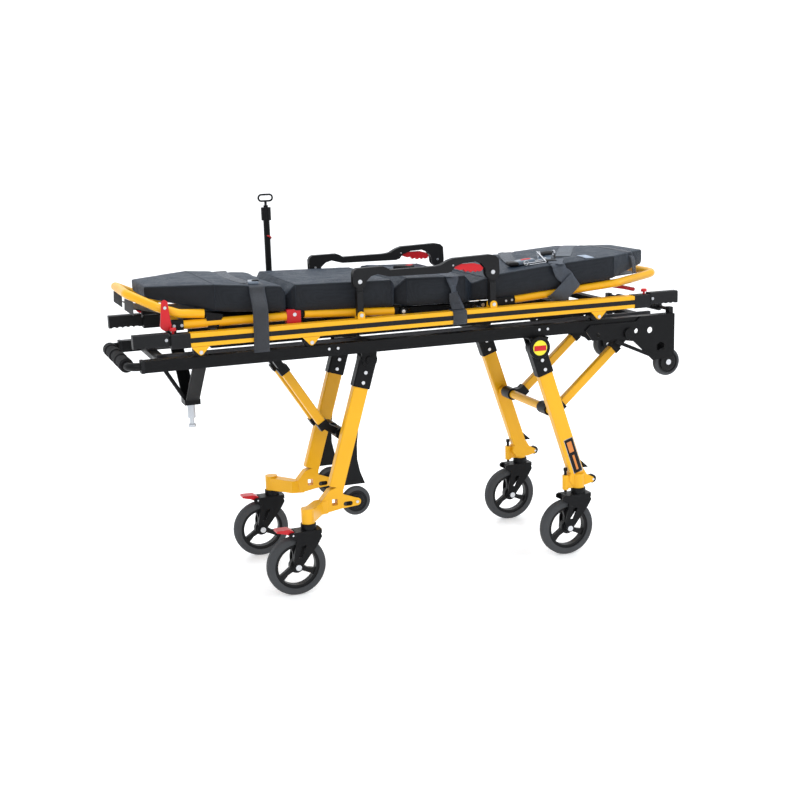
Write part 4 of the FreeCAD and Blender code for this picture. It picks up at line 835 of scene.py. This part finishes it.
def side_belt(body):
    """Wide belt over the backrest's near edge, its end folded over the yellow tube."""
    top = lie_on(back_skin, SIDE_BELT, 2.0)
    ribbon("side_belt_top", top, level_across(top), 50, 2.0, belt_blue, body)
    x0, z0 = top[-1].x, top[-1].z
    hoop_z = back_lo[2] - 2 + HOOP_SLOPE * (x0 - back_lo[0])
    fall = curve_through([(x0, -HALF + 8, z0), (x0 + 3, -HALF - 3, z0 - 6), (x0 + 14, -HALF - 6, z0 - 32),
                          (x0 + 31, -HALF - 8, hoop_z + 38), (x0 + 40, -HALF - 9, hoop_z + 18)])
    ribbon("side_belt_fall", fall, turned((-1, -0.1, 0), (-0.79, 0.0, -0.61), len(fall)), 52, 2.0, belt_blue,
           body)
    fold = [(66, -HALF - 9, 30), (62, -HALF - 12, 26), (44, -HALF - 13, 11), (26, -HALF - 13, -6),
            (9, -HALF - 12, -21), (-4, -HALF - 6, -34), (-12, -HALF + 8, -42)]
    tail = curve_through([(x0 + x, y, hoop_z + z) for x, y, z in fold])
    ribbon("side_belt_tail", tail, turned((0.37, 0, -0.93), (0.85, 0, -0.52), len(tail)), 57, 2.2, belt_blue,
           body)
    return hoop_z


def back_belts():
    """Chest and shoulder webbing, the side belt and the head band on the backrest."""
    body = "backrest_section"
    chest = lie_on(back_skin, CHEST_BELT)
    ribbon("chest_belt", chest, level_across(chest), 50, 2.0, belt_black, body)
    shoulder = lie_on(back_skin, SHOULDER_BELT)
    ribbon("shoulder_belt", shoulder, level_across(shoulder), 54, 2.0, belt_grey, body)
    hoop_z = side_belt(body)
    x, _, z = lie_on(back_skin, [(back_lo[0] + 280, 180), (back_lo[0] + 276, HALF)], 2.0)[-1]
    fall = curve_through([(x, HALF - 8, z), (x, HALF + 3, z - 6), (x - 4, HALF + 6, z - 50),
                          (x - 6, HALF + 5, hoop_z + 6), (x - 6, HALF - 10, hoop_z - 12)])
    ribbon("chest_belt_fall", fall, spread(fall, (1, 0, 0)), 50, 2.0, belt_black, body)
    x, y, z = shoulder[0]
    fall = curve_through([(x, y - 4, z), (x + 3, y + 12, z - 6), (x + 6, y + 17, z - 45),
                          (x + 6, y + 10, z - 92)])
    ribbon("shoulder_belt_fall", fall, spread(fall, (1, -0.35, 0)), 54, 2.0, belt_grey, body)
    band = lie_on(back_skin, HEAD_BAND, 1.0)
    ribbon("head_band", band, level_across(band), 24, 1.6, belt_black, body)
    for side, (x, y, z) in ((-1, band[-1]), (1, band[0])):
        fall = curve_through([(x, y - side * 3, z + 0.5), (x + 4, y + side * 8, z - 5),
                              (x + 10, y + side * 9, z - 32), (x + 14, y + side * 5, z - 62)])
        ribbon("head_band_end_" + side_name(side), fall, spread(fall, (side, -0.55, 0)), 24, 1.6, belt_black,
               body)


def rounded_block(name, size, radius, material, place, turn, body, bulge=0.0):
    """Moulded block with rounded edges and a slightly crowned top; size and place in mm."""
    bm = bmesh.new()
    bmesh.ops.create_cube(bm, size=1.0)
    bmesh.ops.scale(bm, vec=Vector(size) * MM, verts=bm.verts)
    bmesh.ops.bevel(bm, geom=list(bm.edges), offset=radius * MM, segments=3, profile=0.5, affect="EDGES")
    bmesh.ops.subdivide_edges(bm, edges=[e for e in bm.edges if e.calc_length() > size[0] * MM * 0.3], cuts=3,
                              use_grid_fill=True)
    for v in bm.verts:
        if v.co.z > 0:
            fall = (1 - (v.co.x / (size[0] * MM * 0.5)) ** 2) * (1 - (v.co.y / (size[1] * MM * 0.5)) ** 2)
            v.co.z += bulge * MM * max(0.0, fall)
    for face in bm.faces:
        face.smooth = True
    place = Matrix.Translation(Vector(place) * MM) @ turn.to_4x4()
    keep_piece(name, bm, material, body, place)


def closed_run(points):
    """Smooth run round a closed outline, from the first point back to it."""
    pts = curve_through([points[-1]] + points + points[:2], 3.0)

    def away(i):
        return (pts[i] - Vector(points[0])).length

    return pts[min(range(len(pts)), key=away):min(range(len(pts) // 2, len(pts)), key=away)]


def wire_loop(name, points, radius, material, body, closed=False):
    """Round rod bent along points (mm), closed on itself or with rounded ends."""
    pts = closed_run(points) if closed else curve_through(points, 3.0)
    bm = bmesh.new()
    sides, rings, last = 10, [], None
    turns = [2 * math.pi * k / sides for k in range(sides)]
    count = len(pts)
    for i, p in enumerate(pts):
        ahead = pts[(i + 1) % count] - pts[i - 1] if closed else ahead_at(pts, i)
        ahead.normalize()
        across = ahead.orthogonal() if last is None else last - ahead * last.dot(ahead)
        across.normalize()
        last = across
        other = ahead.cross(across)
        tip = radius if closed else radius * math.sqrt(max(0.06, min(1.0, min(i, count - 1 - i) / 1.5)))
        rings.append([bm.verts.new((p + (across * math.cos(a) + other * math.sin(a)) * tip) * MM)
                      for a in turns])
    for a, b in zip(rings, rings[1:]):
        wall(bm, a, b)
    if closed:
        first, final = rings[0], rings[-1]
        offset = min(range(sides), key=lambda s: (final[0].co - first[s].co).length)
        wall(bm, final, first[offset:] + first[:offset])
    else:
        end_caps(bm, rings)
    bmesh.ops.recalc_face_normals(bm, faces=bm.faces)
    keep_piece(name, bm, material, body)


def spin(degrees, axis="Z"):
    return Matrix.Rotation(math.radians(degrees), 3, axis)


def ring_points(x, y, z, radius, plane):
    """Eight points on an upright circle (mm) in the XZ or the YZ plane."""
    found = []
    for k in range(8):
        level, rise = radius * math.cos(math.pi * k / 4), radius * math.sin(math.pi * k / 4)
        found.append((x + level, y, z + rise) if plane == "XZ" else (x, y + level, z + rise))
    return found


def buckles():
    """Tongue buckles of the leg and hip belts."""
    turn, body = spin(-12), "calf_section"
    spot = drop_on(calf_skin, CALF_BELT[-2][0] + 1, -188, 7)
    rounded_block("calf_buckle_cover", (34, 58, 9), 3.0, lock_grey, spot, turn, body, 1.5)
    rounded_block("calf_buckle_button", (22, 14, 5), 1.8, black_plastic, spot + Vector((3, -17, 6)), turn,
                  body, 0.8)
    turn, body = spin(-48), "chassis"
    spot = drop_on(back_skin, SEAT_BELT[2][0] + 4, SEAT_BELT[2][1] + 6, 8)
    rounded_block("seat_buckle_cover", (62, 48, 13), 4.5, black_plastic, spot, turn, body, 2.5)
    rounded_block("seat_buckle_button", (16, 30, 5), 1.8, red_plastic, spot + Vector((14, -14, 6)), turn,
                  body, 0.8)


def harness():
    """Chest harness lock on the backrest, with its slide bar, ring, rolled strap and slider."""
    body = "backrest_section"
    x0 = back_lo[0]
    base = drop_on(back_skin, x0 + 165, -150, 0)
    top = base.z
    lying, tipped = spin(-8), spin(-8) @ spin(-6, "Y")
    rounded_block("chest_buckle_cover", (66, 46, 15), 4.5, lock_grey, base + Vector((14, 6, 11)), tipped,
                  body, 2.5)
    rounded_block("chest_buckle_button", (34, 15, 6), 2.0, red_plastic, base + Vector((15, 0, 19)), tipped,
                  body, 1.2)
    rounded_block("chest_buckle_heel", (34, 50, 12), 4.0, black_plastic, base + Vector((-34, 2, 8)), lying,
                  body, 1.5)
    bar = [(x0 + 172, -174, top + 8), (x0 + 238, -168, top + 12), (x0 + 240, -156, top + 14),
           (x0 + 172, -158, top + 10)]
    wire_loop("harness_slide_bar", bar, 2.6, chrome, body, True)
    rod = [(x0 + 176, -187, top + 4), (x0 + 210, -184, top + 6), (x0 + 244, -181, top + 8)]
    wire_loop("harness_slide_rod", rod, 2.2, chrome, body)
    ring = ring_points(x0 + 166, -184, top + 11, 8, "XZ")
    wire_loop("harness_slide_ring", ring, 1.9, chrome, body, True)
    rod = [(x0 + 246, -180, top + 7), (x0 + 241, -150, top + 26), (x0 + 236, -120, top + 42)]
    wire_loop("harness_cross_rod", rod, 2.6, chrome, body)
    rounded_block("harness_plate", (46, 70, 4), 1.5, lock_grey, (x0 + 262, -128, top + 18),
                  spin(-20) @ spin(22, "X"), body, 1.0)
    roll = [(x0 + 250, -118, top + 30), (x0 + 275, -118, top + 33), (x0 + 300, -118, top + 32)]
    wire_loop("harness_roll", roll, 7.5, rolled_strap, body)
    for k, (dx, dz) in enumerate(((248, 30), (304, 32))):
        ring = ring_points(x0 + dx, -118, top + dz, 8.5, "YZ")
        wire_loop("harness_roll_ring_%d" % k, ring, 2.2, chrome, body, True)
    link = [(x0 + 304, -122, top + 26), (x0 + 299, -138, top + 16), (x0 + 286, -150, top + 8)]
    wire_loop("harness_link", link, 4.0, black_plastic, body)
    rounded_block("harness_slider", (42, 34, 10), 3.5, black_plastic, (x0 + 268, -162, top + 9), spin(-14),
                  body, 1.5)
    rounded_block("harness_slider_pin", (10, 10, 16), 3.0, chrome, (x0 + 252, -156, top + 14), spin(-14),
                  body, 0.5)


thread = hard_surface("belt_thread", (0.05, 0.055, 0.062), 0.6, grain=2500.0, depth=0.00004)
lock_grey = hard_surface("lock_cover", (0.10, 0.13, 0.17), 0.32, coat=0.3, grain=1600.0, depth=0.00002,
                         wear=0.4, worn=(0.35, 0.38, 0.42))
rolled_strap = hard_surface("rolled_webbing", (0.010, 0.010, 0.012), 0.6, grain=700.0, depth=0.00025)
calf_belts()
seat_belts()
back_belts()
buckles()
harness()


# ------------------------------------------------------------------ small plain details
HEAD_LEAN, HEAD_HUB = 18.2, (413.0, 752.0)
HUB_CENTRE, HUB_FACE = (413.0, 755.0), 266.0
POLE_X, POLE_R = -378.0, 11.0
DISC_SIDES = 48
leg_face = frame_box("head_leg_tubes")[0][1]
panel_black = hard_surface("panel_black", (0.006, 0.006, 0.007), 0.4, shine=0.2)
panel_orange = hard_surface("panel_orange", (0.62, 0.20, 0.03), 0.45, wear=0.05)
panel_yellow = hard_surface("panel_yellow", (0.75, 0.66, 0.02), 0.4, wear=0.05)
patch_cloth = webbing("patch_cloth", (0.22, 0.26, 0.32), (0.36, 0.42, 0.50), 0.6)


def disc(name, centre, radius, thick, material, body, side, dish=0.0):
    """Shallow turned disc facing outward along Y, with a rolled rim and an optional dish (mm)."""
    bm = bmesh.new()
    profile = [(radius * 0.6, thick - dish * 0.7), (radius * 0.86, thick), (radius * 0.96, thick * 0.8),
               (radius, thick * 0.4), (radius, 0.0)]
    turns = [2 * math.pi * k / DISC_SIDES for k in range(DISC_SIDES)]

    def point(r, h, turn):
        return bm.verts.new(((centre[0] + r * math.cos(turn)) * MM, (centre[1] + side * h) * MM,
                             (centre[2] + r * math.sin(turn)) * MM))

    front, back = point(0.0, thick - dish, 0.0), point(0.0, 0.0, 0.0)
    rings = [[point(r, h, turn) for turn in turns] for r, h in profile]
    for a, b in zip(rings, rings[1:]):
        wall(bm, a, b)
    for k in range(DISC_SIDES):
        j = (k + 1) % DISC_SIDES
        bm.faces.new((front, rings[0][j], rings[0][k])).smooth = True
        bm.faces.new((rings[-1][k], rings[-1][j], back)).smooth = True
    bmesh.ops.recalc_face_normals(bm, faces=bm.faces)
    keep_piece(name, bm, material, body)


def leg_panel():
    """Plain black panel with two orange bars, low on the outer face of the near head-end leg."""
    lean = math.radians(HEAD_LEAN)
    wide = Vector((math.cos(lean), 0, math.sin(lean)))
    up = Vector((-math.sin(lean), 0, math.cos(lean)))
    out = Vector((0, -1, 0))
    turn = Matrix((wide, up, out)).transposed()
    hub = Vector((HEAD_HUB[0], leg_face, HEAD_HUB[1]))
    for name, low, high, left, right, rise, material in (
            ("leg_panel_edge", 350, 482, -14, 22, 0.4, chrome),
            ("leg_panel", 352, 480, -12.5, 20.5, 0.9, panel_black),
            ("leg_panel_bar_upper", 362, 402, -6, 12, 1.3, panel_orange),
            ("leg_panel_bar_lower", 414, 470, 0, 8, 1.3, panel_orange)):
        place = hub - up * (low + high) / 2 + wide * (left + right) / 2 + out * rise / 2
        rounded_block(name, (right - left, high - low, rise), rise * 0.3, material, place, turn, "head_legs")


def hub_caps():
    """Plain two-colour disc on the round hub covers of the head-end leg pivots."""
    flat = Matrix(((1, 0, 0), (0, 0, 1), (0, -1, 0))).transposed()
    x, z = HUB_CENTRE
    for side in (-1, 1):
        disc("hub_disc_" + side_name(side), (x, side * HUB_FACE, z), 26, 0.9, panel_yellow, "chassis", side)
        rounded_block("hub_band_" + side_name(side), (45, 18, 1.4), 0.4, red_plastic,
                      (x, side * (HUB_FACE + 0.7), z - 1), flat, "chassis")


def wheel_dishes():
    """Dished hub covers on the loading wheels and the small auxiliary wheels."""
    for node, body, radius in (("loading_wheels", "loading_wheel_pair", 30),
                               ("aux_wheels", "aux_wheel_pair", 26)):
        low, high = frame_box(node)
        for side in (-1, 1):
            centre = ((low[0] + high[0]) / 2, side * high[1], (low[2] + high[2]) / 2)
            disc("%s_dish_%s" % (node, side_name(side)), centre, radius, 3.0, rim_plastic, body, side, 2.0)


def pole_collar():
    """Red release ring part-way round the drip pole, rising a little along its arc."""
    low, high = frame_box("iv_pole_tube")
    y, reach = (low[1] + high[1]) / 2, POLE_R + 1.8
    arc = [(POLE_X + reach * math.cos(math.radians(a)), y + reach * math.sin(math.radians(a)), 1135 - 0.1 * a)
           for a in range(-110, 71, 30)]
    wire_loop("pole_release_ring", arc, 3.0, red_plastic, "chassis")


def rest_patch():
    """Plain light patch sewn on the backrest near its outer edge."""
    run = lie_on(back_skin, [(634, -146), (634, -212)], 0.8)
    ribbon("rest_patch", run, level_across(run), 34, 0.8, patch_cloth, "backrest_section")


leg_panel()
hub_caps()
wheel_dishes()
pole_collar()
rest_patch()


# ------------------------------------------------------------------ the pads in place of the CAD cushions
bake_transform(calf_pad)
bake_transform(thigh_pad)
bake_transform(back_pad)
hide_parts("calf_cushion")
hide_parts("thigh_cushion")
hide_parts("seat_cushion", "backrest_cushion")


# ------------------------------------------------------------------ stage, light, camera
def stage_floor():
    """White floor with a faint gloss, curving up into a white backdrop far behind (m)."""
    half_width, bend_y, bend_r, top, steps = 40.0, 9.0, 5.0, 30.0, 8
    rows = [(-half_width, 0.0), (bend_y, 0.0)]
    for step in range(1, steps + 1):
        turn = math.radians(90 * step / steps)
        rows.append((bend_y + bend_r * math.sin(turn), bend_r - bend_r * math.cos(turn)))
    rows.append((bend_y + bend_r, top))
    bm = bmesh.new()
    strips = [[bm.verts.new((x, y, z)) for x in (-half_width, half_width)] for y, z in rows]
    for low, high in zip(strips, strips[1:]):
        bm.faces.new((low[0], low[1], high[1], high[0]))
    mesh = bpy.data.meshes.new("studio_floor")
    bm.to_mesh(mesh)
    bm.free()
    s = Shader("studio_white")
    s.set(Base_Color=rgba((0.93, 0.93, 0.93)), Roughness=0.30, Specular_IOR_Level=0.4)
    s.set(Emission_Color=rgba((1.0, 1.0, 1.0)), Emission_Strength=0.30)
    mesh.materials.append(s.mat)
    add_object("studio_floor", mesh)


def area_light(name, place, aim, size, power, colour=(1, 1, 1)):
    """Rectangular lamp at place (m), turned to aim, with its power in watts."""
    data = bpy.data.lights.new(name, "AREA")
    data.shape = "RECTANGLE"
    data.size, data.size_y = size
    data.energy = power
    data.color = colour
    lamp = add_object(name, data)
    lamp.location = place
    lamp.rotation_mode = "QUATERNION"
    lamp.rotation_quaternion = (Vector(aim) - Vector(place)).to_track_quat("-Z", "Y")


AZIMUTH, ELEVATION, ROLL = -20.05, 12.06, -1.81
CAMERA_PLACE = (-1.5812, -4.2982, 1.5380)
LENS, SHIFT = 60.04, (0.00325, 0.002625)


def camera():
    """The viewing angle: low three-quarter view from the foot end, slight roll."""
    azimuth, elevation, roll = (math.radians(a) for a in (AZIMUTH, ELEVATION, ROLL))
    back = Vector((math.sin(azimuth) * math.cos(elevation), -math.cos(azimuth) * math.cos(elevation),
                   math.sin(elevation)))
    right = Vector((0, 0, 1)).cross(back).normalized()
    up = back.cross(right)
    right, up = (right * math.cos(roll) + up * math.sin(roll), up * math.cos(roll) - right * math.sin(roll))
    data = bpy.data.cameras.new("camera")
    data.sensor_width = 36.0
    data.lens = LENS
    data.shift_x, data.shift_y = SHIFT
    data.clip_end = 200.0
    cam = add_object("camera", data)
    cam.matrix_world = Matrix.Translation(CAMERA_PLACE) @ Matrix((right, up, back)).transposed().to_4x4()
    bpy.context.scene.camera = cam


def studio_world():
    """Soft cool light from all round; plain white where the camera looks past the floor."""
    world = bpy.data.worlds.new("studio")
    world.use_nodes = True
    nodes, links = world.node_tree.nodes, world.node_tree.links
    soft = nodes["Background"]
    soft.inputs["Color"].default_value = (0.93, 0.96, 1.0, 1.0)
    soft.inputs["Strength"].default_value = 0.9
    plain = nodes.new("ShaderNodeBackground")
    plain.inputs["Color"].default_value = (1.0, 1.0, 1.0, 1.0)
    pick = nodes.new("ShaderNodeMixShader")
    links.new(nodes.new("ShaderNodeLightPath").outputs["Is Camera Ray"], pick.inputs[0])
    links.new(soft.outputs[0], pick.inputs[1])
    links.new(plain.outputs[0], pick.inputs[2])
    links.new(pick.outputs[0], nodes["World Output"].inputs["Surface"])
    bpy.context.scene.world = world


stage_floor()
studio_world()
area_light("key", (-2.6, -4.2, 4.2), (0, 0, 0.8), (3.0, 2.0), 88)
area_light("top", (0.3, 0.6, 4.6), (0, 0, 0.9), (4.5, 2.5), 95, (0.93, 0.96, 1.0))
area_light("side", (4.6, -2.2, 2.2), (0, 0, 0.7), (2.0, 2.0), 45)
camera()
bpy.context.scene.view_settings.view_transform = "Standard"
